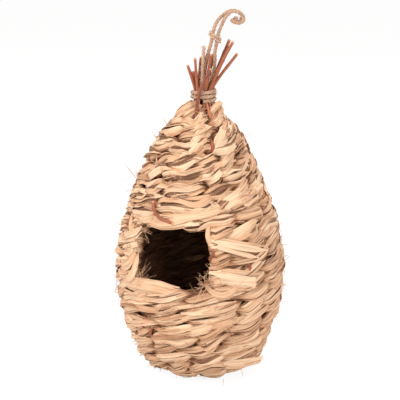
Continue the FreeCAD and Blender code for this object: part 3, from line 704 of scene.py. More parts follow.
@dataclass
class GrassBundle:
    """Lays blades along a bundle path, lane by lane, and closes its heart with a fluted core."""

    cut: BladeCut
    path: BundlePath
    parts: MeshParts
    rng: Chance
    core_share: float = 0.7
    core_flute: float = 0.16
    core_corners: int = 12
    # the core's tone is painted shade, near black
    core_tone: float = 0.02
    inner_share: float = 0.74
    # the inner lanes are painted dark as the shade between the outer blades
    inner_tone: float = 0.03
    tones: tuple[float, float] = (0.60, 0.17)  # mean and scatter
    overlap: tuple[float, float] = (0.72, 0.9)  # share of a blade after which the next one starts
    end_share: float = 0.12  # share of a blade over which each end tucks in or springs out
    stray_stretch: float = 60.0  # the length on which the cut's number of fibres lies
    stray_length: tuple[float, float] = (14.0, 42.0)
    whisker_length: tuple[float, float] = (3.0, 8.5)
    whisker_sun: float = 0.7  # whiskers are left out where the bundle's painted light is below this

    def __post_init__(self) -> None:
        """Counts and measures the path's stations."""
        self.count = len(self.path.centre)
        self.step = self.path.station_length()

    def fill(self) -> None:
        """Fills the path with its core, its inner and outer blades and its stray fibres."""
        self._core()
        self._lanes(self.cut.inner_lanes, self.inner_share, 0.1, False)
        self._lanes(self.cut.lanes, 1.0, 0.13, True)
        self._strays()
        self._whiskers()

    def _core(self) -> None:
        """A heart of packed blades, so that no light comes through the bundle; it is painted near black as
        the shade in the slits between blades.
        """
        stations = np.arange(self.count + 1)
        rings = []
        for corner in range(self.core_corners):
            angle = np.full(len(stations), 2 * math.pi * corner / self.core_corners)
            share = self.core_share * (1 + self.core_flute * (corner % 2))
            points, _, _ = self.path.surface(stations, angle, np.full(len(stations), share))
            rings.append(points)
        rings = np.stack(rings, axis=1)
        tangents = np.gradient(rings.mean(1), axis=0)
        turn = np.cross(rings[:, 0] - rings.mean(1), rings[:, 1] - rings.mean(1))
        if (turn * tangents).sum() < 0:
            rings = rings[:, ::-1]
        around = np.arange(self.core_corners + 1) * 1.5
        self.parts.add_sweep(rings, stations * self.step, around, self.core_tone)

    def _lanes(self, lanes: int, share: float, scatter: float, outer: bool) -> None:
        """Lays blades end over end in evenly spread lanes round the bundle."""
        rng = self.rng
        for lane in range(lanes):
            middle = 2 * math.pi * (lane + rng.uniform(-0.25, 0.25)) / lanes
            start = rng.uniform(0, self.count)
            end = start + self.count
            while start < end:
                length = rng.uniform(*self.cut.length) / self.step
                stations = np.arange(int(start), int(start + length))
                self._blade(stations, middle, share + rng.normal(0, scatter), outer)
                start += length * rng.uniform(*self.overlap)

    def _blade(self, stations: np.ndarray, middle: float, share: float, outer: bool) -> None:
        """Adds one blade, its ends tucked into the bundle or sprung out of it."""
        rng, cut = self.rng, self.cut
        way = np.linspace(0, 1, len(stations))
        near_end = np.clip((np.abs(way - 0.5) - (0.5 - self.end_share)) / self.end_share, 0, 1)
        lift = np.full(len(way), share) + 0.06 * ripple(rng, way, 3, 11)
        for end in (near_end * (way < 0.5), near_end * (way > 0.5)):
            sprung = outer and rng.random() < cut.loose
            lift = lift + end**1.5 * (rng.uniform(0.25, 0.7) if sprung else -0.4)
        angle = middle + rng.normal(0, 0.12) + rng.uniform(-0.45, 0.45) * (way - 0.5)
        angle = angle + 0.09 * ripple(rng, way, 3, 9)
        line, normals, sun = self.path.surface(stations, angle, lift)
        normals = rolled(line, normals, rng.normal(0, 0.34) + 0.18 * ripple(rng, way, 3, 9))
        width = rng.uniform(*cut.width) * (0.88 + 0.12 * np.sin(way * rng.uniform(6, 14)))
        width = width * (1 - 0.6 * near_end**2)
        curl, crease = rng.uniform(0.02, 0.2), rng.normal(0, 0.25)
        rings, across = blade_rings(line, normals, width, curl, crease, cut.thickness)
        along = rng.uniform(0, ANY_MAP_START) + np.arange(len(way)) * self.step
        # inner lanes take the painted shade tone, and every blade is darkened with painted shade towards
        # the wall's inner face
        tone = float(np.clip(rng.normal(*self.tones), 0.15, 0.9)) if outer else self.inner_tone
        self.parts.add_sweep(rings, along, across + rng.uniform(0, 60), with_painted_shade(tone, sun))

    def _strays(self) -> None:
        """Adds the narrow split fibres that lie on top of a bundle."""
        rng = self.rng
        for _ in range(round(self.cut.fibres * self.count * self.step / self.stray_stretch)):
            length = int(rng.uniform(*self.stray_length) / self.step)
            start = int(rng.uniform(0, self.count))
            if length < 5:
                continue
            way = np.linspace(0, 1, length)
            angle = rng.uniform(-1.3, 1.3) + rng.uniform(-0.8, 0.8) * way
            lift = 1.12 + 0.10 * np.sin(way * rng.uniform(3, 9)) + rng.uniform(0, 0.35) * way**3
            line, normals, sun = self.path.surface(start + np.arange(length), angle, lift)
            width = rng.uniform(0.35, 0.95) * (1 - 0.6 * way**4)
            rings, across = blade_rings(line, normals, width, 0.0, 0.1, 0.2)
            along = rng.uniform(0, ANY_MAP_START) + way * length * self.step
            # the fibre's tone is darkened with painted shade towards the wall's inner face
            self.parts.add_sweep(rings, along, across, with_painted_shade(float(rng.uniform(0.25, 0.7)), sun))

    def _whiskers(self) -> None:
        """Adds the short hair-fine fibres that stand off the bundle and curl."""
        rng = self.rng
        for _ in range(self.cut.whiskers):
            station = np.array([int(rng.uniform(0, self.count))])
            angle = np.array([rng.normal(0, 0.9)])
            root, normal, sun = self.path.surface(station, angle, np.ones(1))
            # no whiskers where the painted light is low, towards the wall's inner face
            if sun[0] < self.whisker_sun:
                continue
            forward = unit(np.cross(normal, self.path.along[station]) * rng.choice((-1.0, 1.0)))
            heading = normal[0] * rng.uniform(0.3, 1.1) + forward[0] + rng.normal(0, 0.5, 3)
            self.parts.add_whisker(root[0], heading, rng.uniform(*self.whisker_length), rng)


@dataclass
class TwinedRow:
    """One row of twining: a pair of bundles that cross between one stake and the next."""

    place: RowPlace
    cut: Cut
    lumps: int = STAKES
    first_lump: float = FRONT
    sway: float = 3.4
    middle_half_thickness: float = 2.6
    crossing_half_thickness: float = 2.4
    dwell: float = 0.34  # how long a bundle stays on one side before it crosses
    drift: float = 8.0  # degrees by which a lump strays from its place
    unevenness: float = 0.12  # share by which its size strays
    wander: float = 0.7  # millimetres by which it climbs or sinks by chance
    slant_sharpness: float = 0.95  # 1 would be a zigzag, 0 a sine
    crossing_height: float = 0.25  # half height where the bundles cross, in rows
    lump_height: float = 0.5
    station: float = 2.2
    seed: int = 1

    def __post_init__(self) -> None:
        """Sets up the row's own source of chance, and how its lumps differ."""
        self.rng = np.random.default_rng(self.seed)
        waves = np.random.default_rng(self.seed + 500)
        self.phases = [int(waves.integers(0, 1 << 30)) for _ in range(4)]

    def _noise(self, number: int, turn: np.ndarray, orders: range) -> np.ndarray:
        """One of the row's own smooth random values round the pod."""
        return slow_waves(np.random.default_rng(self.phases[number]), turn, orders)

    def ease(self, azimuths: np.ndarray) -> np.ndarray:
        """How freely the lumps may shift at an azimuth; a whole ring is free everywhere."""
        return np.ones_like(azimuths)

    def path(self, azimuths: np.ndarray, inner: bool, backward: bool = False) -> BundlePath:
        """The way of one bundle.

        Args:
            azimuths: where its stations lie, in degrees.
            inner: whether it starts on the inside of the wall.
            backward: whether it runs clockwise, after a fold.

        Returns:
            The path.
        """
        place, cut = self.place, self.cut.value
        turn = np.radians(azimuths)
        shift = np.radians(self.drift) * self._noise(0, turn, range(0, 9)) * self.ease(azimuths)
        angle = np.radians(azimuths - self.first_lump) + shift
        even = self.lumps * angle / 2
        twist = even - self.dwell * np.sin(self.lumps * angle)
        own = even * cut.own_turns * 2 / self.lumps
        if inner:
            even, twist, own = even + math.pi, twist + math.pi, own + math.pi
        around = np.radians(spread(azimuths, place.height))
        spoke = np.stack([np.cos(around), np.sin(around), np.zeros_like(around)], axis=1)
        out, along = place.directions(spoke)
        size = 1 + self.unevenness * self._noise(1 + 2 * inner, turn, range(6, 22))
        offset = self.sway * np.cos(twist) * size
        slant = np.arcsin(self.slant_sharpness * np.sin(even)) / math.asin(self.slant_sharpness)
        climb = place.pitch * cut.climb * slant + self.wander * self._noise(2, turn, range(3, 11))
        centre = spoke * place.radius + UP * place.height
        centre = centre + out * offset[:, None] + along * climb[:, None]
        facing = turned(out, along, own)
        lengthwise = turned(along, -out, own)
        if backward:
            lengthwise = -lengthwise
        over = np.cos(twist) ** 2
        tall = place.pitch * self._between(self.crossing_height, self.lump_height, over) * size
        thick = self._between(self.crossing_half_thickness, self.middle_half_thickness, over) * size
        return BundlePath(centre, out, along, facing, lengthwise, thick, tall, offset)

    @staticmethod
    def _between(crossing: float, lump: float, over: np.ndarray) -> np.ndarray:
        """A size that goes from its value at the crossings to the one at the lumps."""
        return crossing + (lump - crossing) * over

    def build(self, finish: Material) -> None:
        """Makes both bundles as one piece that stands for the row's node."""
        parts = MeshParts()
        for path in self.paths():
            GrassBundle(self.cut.value, path, parts, self.rng).fill()
        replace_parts(parts.build(f"grass_{self.place.name}", finish, "grass"), self.place.name)

    def paths(self) -> list[BundlePath]:
        """Both bundles' ways, all round the pod."""
        count = round(2 * math.pi * self.place.radius / self.station)
        azimuths = self.first_lump + np.arange(count) * 360.0 / count
        return [self.path(azimuths, inner) for inner in (False, True)]


@dataclass
class DoorRow(TwinedRow):
    """A row that stops at the entrance: one bundle that folds back round both edge stakes."""

    fold_steps: int = 6
    right: float = FRONT + STAKE_STEP
    left: float = FRONT + STAKE_STEP * (STAKES - 1)
    calm: float = 30.0  # degrees from a fold within which the lumps keep their place
    snugness: float = 0.45  # share by which the fold is pressed flat against its stake
    tightness: float = 0.3  # share by which it is pulled in
    fold_height: float = 0.52

    def ease(self, azimuths: np.ndarray) -> np.ndarray:
        """The lumps keep their place at the two folds."""
        return np.clip(np.minimum(azimuths - self.right, self.left - azimuths) / self.calm, 0, 1)

    def paths(self) -> list[BundlePath]:
        """The single bundle's way, round the back and folded at both ends."""
        share = (self.left - self.right) / 360.0
        count = round(2 * math.pi * self.place.radius * share / self.station)
        azimuths = np.linspace(self.right, self.left, count + 1)
        pieces = [
            self.path(azimuths, False),
            self._fold(self.left, 1),
            self.path(azimuths[::-1], True, True),
            self._fold(self.right, -1),
        ]
        names = [entry.name for entry in fields(BundlePath)]
        return [BundlePath(*(np.concatenate([getattr(p, name) for p in pieces]) for name in names))]

    def _fold(self, azimuth: float, way: int) -> BundlePath:
        """The half turn round an edge stake, from one face of the wall to the other."""
        place = self.place
        azimuth = float(spread(azimuth, place.height))
        out, along = place.directions(polar(1, azimuth, 0))
        angle = np.linspace(0, math.pi, self.fold_steps + 2)[1:-1]
        if way < 0:
            angle = math.pi - angle
        facing = turned(out[None], polar(1, azimuth + 90 * way, 0)[None], angle)
        reach = self.sway * (1 - self.tightness * np.sin(angle))
        centre = polar(place.radius, azimuth, place.height)[None] + facing * reach[:, None]
        lengthwise = np.repeat(along[None], len(angle), axis=0)
        thick = self.middle_half_thickness * (1 - self.snugness * np.sin(angle))
        tall = np.full(len(angle), place.pitch * self.fold_height)
        # the painted light reaches a little past the fold's edge and then fades to painted shade
        offset = self.sway * np.cos(np.maximum(0, angle - 1.2) * 1.6)
        return BundlePath(centre, facing, lengthwise, facing, lengthwise, thick, tall, offset)


@dataclass
class Weave:
    """All the rows of twining, with the kind of handful that each band of the wall shows."""

    wall: Wall

    def build(self, finish: Material) -> None:
        """Builds every row."""
        flat = {"sway": 2.4, "middle_half_thickness": 2.1, "crossing_half_thickness": 2.0}
        halfway = FRONT + STAKE_STEP / 2
        bands = {
            "base_row": (TwinedRow, Cut.FINE, flat),
            "lower_row": (TwinedRow, Cut.FINE, {}),
            "door_row": (DoorRow, Cut.MIXED, {"first_lump": FRONT + STAKE_STEP}),
            "upper_row": (TwinedRow, Cut.BROAD, {}),
            "crown_row": (TwinedRow, Cut.BROAD, {"lumps": STAKES // 2, "first_lump": halfway}),
        }
        for number, place in enumerate(self.wall.rows):
            row_class, cut, options = bands[place.name.rsplit("_", 1)[0]]
            if place.name == "upper_row_1":
                cut = Cut.LEVEL
            if place.name == "base_row_1":
                options = {**options, "lumps": 4}
            row_class(place, cut, seed=11 + number, **options).build(finish)


@dataclass
class TwigFrame:
    """The twelve stakes: six long twigs through the base, and the twig cut at the entrance."""

    wall: Wall
    diameter: float = 2.6
    knot_spacing: tuple[float, float] = (17.0, 34.0)
    cross_pitch: float = 2.9
    cross_half_length: float = 4.6
    cross_lift: float = 1.5
    cross_reach: float = 12.8
    pair_half_angle: float = 10.0
    neck_radius: float = 5.4
    neck_top: float = 218.0
    clearance: float = 0.2
    taper: float = 0.8
    waviness: float = 0.22
    stub_rise: float = 3.0  # how far the cut twig comes up past the first row beside the entrance
    end_gap: float = 4.0
    station: float = 1.6
    corners: int = 10

    LONG_TWIGS = (
        ("middle_twig_front_back", 0, 6),
        ("right_twig_front_back", 1, 5),
        ("left_twig_front_back", 11, 7),
        ("middle_twig_crosswise", 3, 9),
        ("front_twig_crosswise", 2, 10),
        ("rear_twig_crosswise", 4, 8),
    )

    def __post_init__(self) -> None:
        """Measures the neck on the frame's binding."""
        low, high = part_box("neck_binding")
        self.axis = np.array((low + high) / 2) / MM * LEVEL
        self.neck_low, self.neck_high = low.z / MM, high.z / MM
        self.binding_outside = (high.x - low.x) / 2 / MM

    def view_point(self, sideways: float, depth: float, height: float) -> np.ndarray:
        """A point beside the neck: to its right, towards the front and above the binding."""
        place = polar(sideways, FAN_AZIMUTH, 0) + polar(depth, FAN_AZIMUTH - 90, 0)
        return place + (self.axis + UP * (self.neck_top + height))

    def half(self, index: int) -> list[np.ndarray]:
        """The corners of one stake, from the cross in the base to its tip."""
        azimuth = FRONT + STAKE_STEP * index
        group = round((azimuth - FRONT) / 90.0)
        heading = FRONT + 90.0 * group
        floor = self.wall.rows[0].height
        layer = floor + self.cross_lift * (1 if group % 2 else -1)
        forward, left = polar(1, heading, 0), polar(1, heading + 90, 0)
        sideways = left * ((azimuth - heading) / STAKE_STEP * self.cross_pitch)
        corners = [forward * self.cross_half_length + sideways + UP * layer]
        corners.append(forward * self.cross_reach + sideways + UP * floor)
        closing_from = self.wall.rows[-4].height
        closed_at = (self.wall.rows[-3].height + self.wall.rows[-2].height) / 2
        pair_middle = FRONT + STAKE_STEP * (index // 2 * 2 + 0.5)
        paired = pair_middle + self.pair_half_angle * (1 if index % 2 else -1)
        for row in self.wall.rows[1:]:
            closed = np.clip((row.height - closing_from) / (closed_at - closing_from), 0, 1)
            pulled = float(spread(azimuth, row.height))
            corners.append(polar(row.radius, pulled + (paired - pulled) * closed, row.height))
        radius = self.neck_radius
        if index == 0:
            radius = self.binding_outside + self.diameter / 2 + self.clearance
        for height in (self.neck_low, self.neck_high):
            corners.append(polar(radius, azimuth, height) + self.axis)
        corners.append(self.view_point(*TIPS[index]))
        return corners

    def build(self, finish: Material) -> None:
        """Builds every twig and lets it stand for its node."""
        halves = [self.half(index) for index in range(STAKES)]
        stub_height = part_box("door_row_1")[0].z / MM + self.stub_rise
        lintel_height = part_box("door_twig_upper")[0].z / MM
        stub, lintel = (
            polar(self.wall.radius_at(height), float(spread(FRONT, height)), height)
            for height in (stub_height, lintel_height)
        )
        below = [corner for corner in halves[0] if corner[2] < stub_height - self.end_gap]
        above = [corner for corner in halves[0] if corner[2] > lintel_height + self.end_gap]
        for number, (name, near, far) in enumerate(self.LONG_TWIGS):
            start = halves[near] if near else below + [stub]
            self.twig(name, halves[far][::-1] + start, number, finish)
        self.twig("door_twig_upper", [lintel] + above, 17, finish, 0.04)
        self.tuck(finish)
        self.slivers(finish)
        self.glimpses(finish)

    def glimpses(self, finish: Material) -> None:
        """The short stretches of stake that bow out between the lumps."""
        parts = MeshParts()
        radii = (self.diameter / 2, self.diameter / 2)
        for number, (azimuth, height, middle) in enumerate(GLIMPSES):
            corners = []
            for rise, lift in ((-5.5, 1.0), (-2.0, middle), (2.0, middle), (5.5, 1.0)):
                level = height + rise
                spot = polar(self.wall.radius_at(level), azimuth + rise * 0.25, level)
                corners.append(spot + self.wall.outward_at(azimuth, level) * lift)
            self._rod(parts, corners, radii, 30.0 * number, 0.12)
        parts.build("bark_glimpses", finish, "twig")

    def slivers(self, finish: Material) -> None:
        """The split twig ends that show between the grass and the binding."""
        parts = MeshParts()
        for route, tone in zip(NECK_SLIVERS, (0.42, 0.0)):
            self._rod(parts, [self.view_point(*point) for point in route], (0.85, 1.25), 0.0, tone)
        parts.build("bark_neck_slivers", finish, "twig")

    def _rod(
        self, parts: MeshParts, corners: list, radii: tuple[float, float], start: float, tone: float
    ) -> None:
        """Adds a short plain rod: its radii are those of its ends, and its map starts at start."""
        line = resampled(spline_line(corners), 1.0)
        rings = rod_rings(line, np.linspace(*radii, len(line)), self.corners)
        around = np.linspace(0, 2 * math.pi, self.corners + 1)
        parts.add_sweep(rings, np.arange(len(line)) + start, around, tone)

    def tuck(self, finish: Material) -> None:
        """The bent twig end over the lintel, laid along the middle of its node."""
        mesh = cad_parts["door_twig_tuck"].data
        corners = np.array([vertex.co for vertex in mesh.vertices]) / MM
        order = np.argsort(corners[:, 0] - corners[:, 2])
        route = [part.mean(0) for part in np.array_split(corners[order], 8)]
        route[0] = route[0] + (route[0] - route[1]) * 0.6
        route[-1] = route[-1] + (route[-1] - route[-2]) * 0.9
        self.twig("door_twig_tuck", route, 23, finish, 0.16)

    def twig(
        self, name: str, route: list, seed: int, finish: Material, tone: float | None = None
    ) -> None:
        """Adds one twig with bark, knots and cut ends.

        Args:
            name: the node that the twig stands for.
            route: its corners, from one end to the other.
            seed: start of its own chance.
            finish: its material.
            tone: how rubbed its bark is, from dark to bright; by chance if it is left out.
        """
        rng = np.random.default_rng(100 + seed)
        line = resampled(spline_line(route), self.station)
        length = self.station * (len(line) - 1)
        at = np.linspace(0, length, len(line))
        radii = np.full(len(line), self.diameter / 2) * rng.uniform(0.92, 1.06)
        radii = radii * (1 + 0.05 * np.sin(at / 9 + rng.uniform(0, 6)))
        knot = rng.uniform(4, 12)
        while knot < length:
            radii = radii + rng.uniform(0.15, 0.4) * np.exp(-(((at - knot) / 1.5) ** 2))
            knot += rng.uniform(*self.knot_spacing)
        ends = np.minimum(at, length - at)
        radii = radii * (self.taper + (1 - self.taper) * np.clip(ends / 30, 0, 1))
        wobble = np.stack([np.sin(at / rng.uniform(8, 15) + rng.uniform(0, 6)) for _ in range(3)], 1)
        line = line + wobble * self.waviness * np.clip(ends / 10, 0, 1)[:, None]
        tones = np.full(len(line), rng.uniform(-0.12, 0.26) if tone is None else tone)
        tones[[0, -1]] = 0.9
        around = np.linspace(0, math.pi * self.diameter, self.corners + 1)
        parts = MeshParts()
        parts.add_sweep(rod_rings(line, radii, self.corners), at, around, tones)
        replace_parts(parts.build(f"bark_{name}", finish, "twig"), name)


@dataclass
class JuteWork:
    """The binding round the neck, the hanging loop, its hitch and the cut tail."""

    twigs: TwigFrame
    finish: Material
    cord_diameter: float = 2.6
    twine_diameter: float = 2.9
    hitch_diameter: float = 2.0
    strands: int = 3
    lay: float = 3.4  # length of one turn of the strands, in diameters
    strand_radius: float = 0.285  # in diameters, as is how far a strand lies from the middle
    strand_offset: float = 0.24
    station: float = 0.55
    corners: int = 8
    hairs: float = 0.9  # hairs that stand off each millimetre of rope
    hair_length: tuple[float, float] = (1.2, 3.6)
    hair_width: float = 0.16
    knuckle_radius: float = 1.1
    fuzz: MeshParts = field(default_factory=MeshParts)

    # the two tight turns at the end of the loop, beside the neck
    KNUCKLES = ((28.1, 0.0, 49.2), (23.2, 0.0, 48.6))
    HITCH = ((7.9, 0.0, 33.4), (8.9, 0.0, 38.8))  # where the hitch starts and ends on the legs
    TURN = 8  # points of a wound cord in one turn

    def rope(self, parts: MeshParts, line: np.ndarray, diameter: float, seed: int) -> None:
        """Adds the strands of a rope along a line, and notes the hairs that stand off them."""
        rng = np.random.default_rng(300 + seed)
        line = resampled(line, self.station)
        sides, ups = carried_frames(line)
        at = np.arange(len(line)) * self.station
        strand_radius = diameter * self.strand_radius
        around = np.linspace(0, 2 * math.pi * strand_radius, self.corners + 1)
        for strand in range(self.strands):
            turn = -2 * math.pi * (at / (diameter * self.lay) + strand / self.strands)
            turn = turn + 0.12 * np.sin(at / 5 + strand)
            path = line + turned(sides, ups, turn) * diameter * self.strand_offset
            radii = strand_radius * (1 + 0.10 * np.sin(at / 2.3 + rng.uniform(0, 6)))
            rings = rod_rings(path, radii, self.corners)
            parts.add_sweep(rings, at, around, float(rng.uniform(0.1, 0.3)))
        for _ in range(int(at[-1] * self.hairs)):
            spot = rng.integers(1, len(line) - 1)
            out = unit(sides[spot] * rng.normal() + ups[spot] * rng.normal())
            heading = out + unit(line[spot + 1] - line[spot]) * rng.normal(0, 1.2)
            root = line[spot] + out * diameter * 0.42
            self.fuzz.add_whisker(root, heading, rng.uniform(*self.hair_length), rng, self.hair_width)

    def cord(self, name: str, line: np.ndarray, diameter: float) -> bpy.types.Object:
        """Makes the rope that stands for a node."""
        parts = MeshParts()
        self.rope(parts, line, diameter, len(name))
        piece = parts.build(f"jute_{name}", self.finish, "jute")
        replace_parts(piece, name)
        return piece

    def free_cord(self, name: str, route: tuple) -> None:
        """Args:
            name: the node that the cord stands for.
            route: its points beside the neck.
        """
        line = spline_line([self.twigs.view_point(*point) for point in route])
        self.cord(name, line, self.cord_diameter)

    def build(self) -> None:
        """Builds all the jute."""
        self.free_cord("hanging_loop", LOOP_ROUTE)
        self.free_cord("twine_tail", TAIL_ROUTE)
        self.cord("neck_binding", spline_line(self._binding_route()), self.twine_diameter)
        self.cord("loop_hitch", spline_line(self._hitch_route()), self.hitch_diameter)
        self._knuckles()
        self.fuzz.build("jute_hairs", self.finish, "jute")

    def _knuckles(self) -> None:
        """The two knobs where the loop's end is turned in on itself."""
        parts = MeshParts()
        for number, (sideways, depth, height) in enumerate(self.KNUCKLES):
            route = []
            for step in range(12):
                angle = 2 * math.pi * step / self.TURN
                across = sideways + self.knuckle_radius * math.cos(angle)
                up = height + self.knuckle_radius * math.sin(angle)
                route.append(self.twigs.view_point(across, depth + 0.26 * (step - 5.5), up))
            self.rope(parts, spline_line(route), self.cord_diameter, 50 + number)
        parts.build("jute_knuckles", self.finish, "jute")

    def _binding_route(self) -> list:
        """The way of the binding, two and a half turns round the neck."""
        half = self.twine_diameter / 2
        radius = (self.twigs.binding_outside - half) * 1.06
        low, high = self.twigs.neck_low + half, self.twigs.neck_high - half
        steps = 20
        route = []
        for step in range(steps + 1):
            azimuth = FAN_AZIMUTH - 90 + 360 / self.TURN * step
            height = low + (high - low) * step / steps
            route.append(polar(radius, azimuth, height) + self.twigs.axis)
        return route

    def _hitch_route(self) -> list:
        """The way of the hitch, one and a half turns round both legs of the loop."""
        lower, upper = (self.twigs.view_point(*point) for point in self.HITCH)
        rise = unit(upper - lower)
        front = polar(1, FAN_AZIMUTH - 90, 0)
        right = np.cross(front, rise) * -1
        tight = (self.cord_diameter + self.hitch_diameter) / 2 + 0.2
        route = []
        for step in range(13):
            angle = 2 * math.pi * step / self.TURN
            across = right * (tight * math.cos(angle) + 1.75 * round(math.cos(angle)))
            lift = rise * (2.0 * (step / self.TURN - 0.75) - 1.7 * math.cos(angle))
            route.append((lower + upper) / 2 + across + front * tight * 1.08 * math.sin(angle) + lift)
        return route


@dataclass(frozen=True)
class Strip:
    """A strip of grass, by three measures of each of its points.

    On the wall they are azimuth, height and lift. At the neck they are the distances to the right
    of its middle, towards the front and above the binding.
    """

    route: tuple
    width: float
    blades: int = 1
    fan: float = 0.0
    tone: float = 0.55
    cut_square: bool = False

    def lanes(self) -> np.ndarray:
        """How far to the side each of the blades lies."""
        return np.linspace(-self.fan, self.fan, self.blades) if self.fan else np.zeros(1)


# The strips that the weaver or wear left on top of the rows: degrees and millimetres.
LINTEL = (
    Strip(
        ((-118, 125, 2), (-108, 126, 5), (-95, 126.5, 5.8), (-83, 129.5, 6.2), (-71, 132.5, 6.2),
         (-58, 135, 6), (-45, 137, 4)), 4.8, 6, 3.2,
    ),
    Strip(((-144, 142, 4), (-132, 142.5, 6), (-118, 142.5, 6.4), (-107, 142, 5)), 4.2, 1, 0, 0.75),
    Strip(((-60, 135, 4), (-48, 139.5, 6.4), (-34, 143.5, 6.6), (-20, 147, 4.5)), 6.4, 2, 1.6, 0.66),
    Strip(((-124, 177, 3), (-108, 175.5, 5.5), (-82, 171.5, 6), (-57, 167, 4)), 4.4, 3, 2.0, 0.58),
)
SILL = (
    Strip(
        ((-140, 76, 4), (-128, 77.8, 6.2), (-112, 79.8, 6.6), (-98, 80.5, 6.2), (-85, 78.5, 3)), 4.6, 6, 3.4
    ),
    Strip(((-127, 63, 4), (-119, 68, 6.6), (-109, 75, 4.5)), 5.2, 3, 2.4),
    Strip(
        ((-67, 84, 3.5), (-64, 79.5, 5.6), (-57, 76.3, 6.4), (-50, 78.5, 6.6), (-44, 83.5, 5)),
        2.8, 3, 1.4, 0.5,
    ),
    Strip(((-84, 61, 4), (-72, 64.5, 6.3), (-58, 67.5, 6.3), (-46, 69.5, 4)), 5.4, 2, 1.6, 0.64),
    Strip(((-85, 47, 4), (-75, 50.5, 6.3), (-64, 54, 6.3), (-54, 58, 4)), 5.4, 2, 1.6, 0.62),
)
JAMBS = (
    Strip(
        ((-136, 79, 5), (-127, 80.5, 6.6), (-121, 85, 6), (-119.5, 92, 5), (-122, 99, 2.5)),
        4.6, 5, 3.4, 0.6,
    ),
    Strip(((-139, 86, 5), (-131, 88.5, 6.8), (-125, 93, 6.4), (-122, 101, 4)), 3.8, 3, 2.0, 0.5),
    Strip(((-140, 100, 5.5), (-131, 103.5, 6.8), (-120.5, 107.5, 5.2)), 4.0, 1, 0, 0.7, True),
    Strip(((-141, 106, 5), (-132, 110, 6.8), (-124, 113, 5.4), (-121.5, 118, 3)), 3.8, 3, 2.0, 0.6),
    Strip(((-139, 124, 4), (-133, 118, 6.6), (-127, 113.5, 6), (-124, 106, 4)), 3.6, 3, 1.8, 0.5),
    Strip(((-64.5, 127, 3), (-65.5, 122, 5), (-65, 116, 4.6), (-62, 111, 3)), 3.2, 2, 0.8, 0.52),
    Strip(((-51, 114, 4), (-41, 118, 6.8), (-30, 121.5, 6.8), (-20, 123, 4.5)), 6.4, 2, 1.8, 0.6),
)
# Blades caught in the wall and on its inner face at the back, one that sticks out low down, and
# the broad ones folded over the crown.
ODD_BLADES = (
    # the blade caught in the wall at the back is painted near black as the shade inside the wall
    Strip(((136, 78.5, 0.5), (148, 79, 0.5), (160, 78.5, 0.5)), 7.0, 1, 0, 0.1),
    Strip(((124, 66, -6.0), (115, 67.5, -6.6), (104, 70.5, -6.0)), 4.0, 1, 0, 0.45),
    Strip(((-54, 18, 3.5), (-42, 18.5, 7), (-29, 19.5, 9.6), (-15, 20.5, 12.5)), 5.4, 2, 1.8, 0.62, True),
    Strip(((-85, 174, 5.4), (-79, 177.5, 7.6), (-70, 182.5, 7.8), (-58, 187.5, 5)), 6, 2, 1.8, 0.76, True),
    Strip(((-54, 174, 4), (-46, 178, 6.8), (-33, 183, 7), (-14, 187, 4)), 6.2, 2, 2.0, 0.7),
)
EDGE_WRAPS = {
    "edge_wrap_1": (
        Strip(((-65, 119, 3), (-60, 117, 6.4), (-40, 111, 8), (-20, 105.5, 6)), 3.6, 1, 0, 0.5),
        Strip(((-65, 116.5, 3.5), (-59, 114.5, 7.2), (-40, 108, 8.6), (-19, 102.6, 7)), 4.6, 1, 0, 0.7),
        Strip(((-65, 113, 3.5), (-60, 111.5, 6.6), (-46, 106, 8), (-29, 100, 7.4)), 4.2, 1, 0, 0.6),
        # this wide strip lies under the others and is painted near black as the shade in the gaps between
        # them
        Strip(((-65, 114, 3), (-58, 112, 5.4), (-40, 106, 5.8), (-24, 102, 4.6)), 8.4, 2, 2.0, 0.1),
    ),
    "edge_wrap_2": (
        Strip(((-65, 97, 3), (-59, 96, 6.4), (-43, 91.5, 7.4), (-27, 87, 6)), 3.8, 1, 0, 0.54),
        Strip(
            ((-65, 93, 3.5), (-60, 92.3, 7.2), (-46, 88.4, 8.6), (-33.5, 84.8, 7.8)), 4.8, 1, 0, 0.68, True
        ),
        Strip(((-65, 89, 3.5), (-60, 87.8, 6.8), (-46, 84.2, 8.2), (-33, 81, 7.4)), 4.0, 1, 0, 0.6, True),
        Strip(((-64, 86, 3), (-57, 83.4, 6), (-42, 79.6, 6.6), (-30, 77.8, 5)), 3.6, 1, 0, 0.5),
        # this wide strip lies under the others and is painted near black as the shade in the gaps between
        # them
        Strip(((-65, 91, 3), (-58, 89.5, 5.4), (-44, 86, 6), (-32, 83, 4.6)), 8.4, 2, 2.4, 0.1),
    ),
}
# Bundles that the weaver turned in under the binding.
NECK_LUMPS = (
    Strip(((-20, 3, -24), (-15.5, 5.5, -17.5), (-10, 5.5, -14), (-5, 3.5, -11.5)), 5.4, 6, 3.4, 0.66),
    Strip(((-17, 6.5, -27), (-12, 8.8, -21), (-6, 8, -17), (-1.5, 5.5, -13.5)), 4.4, 5, 2.6, 0.55),
    Strip(((1, 8, -25), (5, 8.5, -19), (8.5, 6.5, -14.5), (12.6, 4.5, -11.6)), 3.2, 5, 2.1, 0.62, True),
    Strip(((6, 8, -26), (10.5, 7, -21), (13, 4, -18), (12, 0, -14)), 4.0, 4, 2.2, 0.52),
    Strip(((12, -4, -26), (10, -9, -19), (4, -11, -14.5), (-1, -8, -11.5)), 4.6, 5, 3.0, 0.55),
    Strip(((-6, -14, -26), (-10, -10, -19), (-11, -4, -14.5), (-8, 1, -11.5)), 4.6, 5, 3.0, 0.55),
)
NECK_TUFT = (-2.5, 9.5, -18.5)  # the middle of the short fibres between the lumps in front


@dataclass(frozen=True)
class Fray:
    """A spot where the grass has split into fibres: where, how many and which way they go."""

    azimuth: float
    height: float
    lift: float
    reach: float
    count: int
    length: tuple[float, float]
    heading: tuple[float, float, float]  # outward, to the right and up
    scatter: float = 0.6


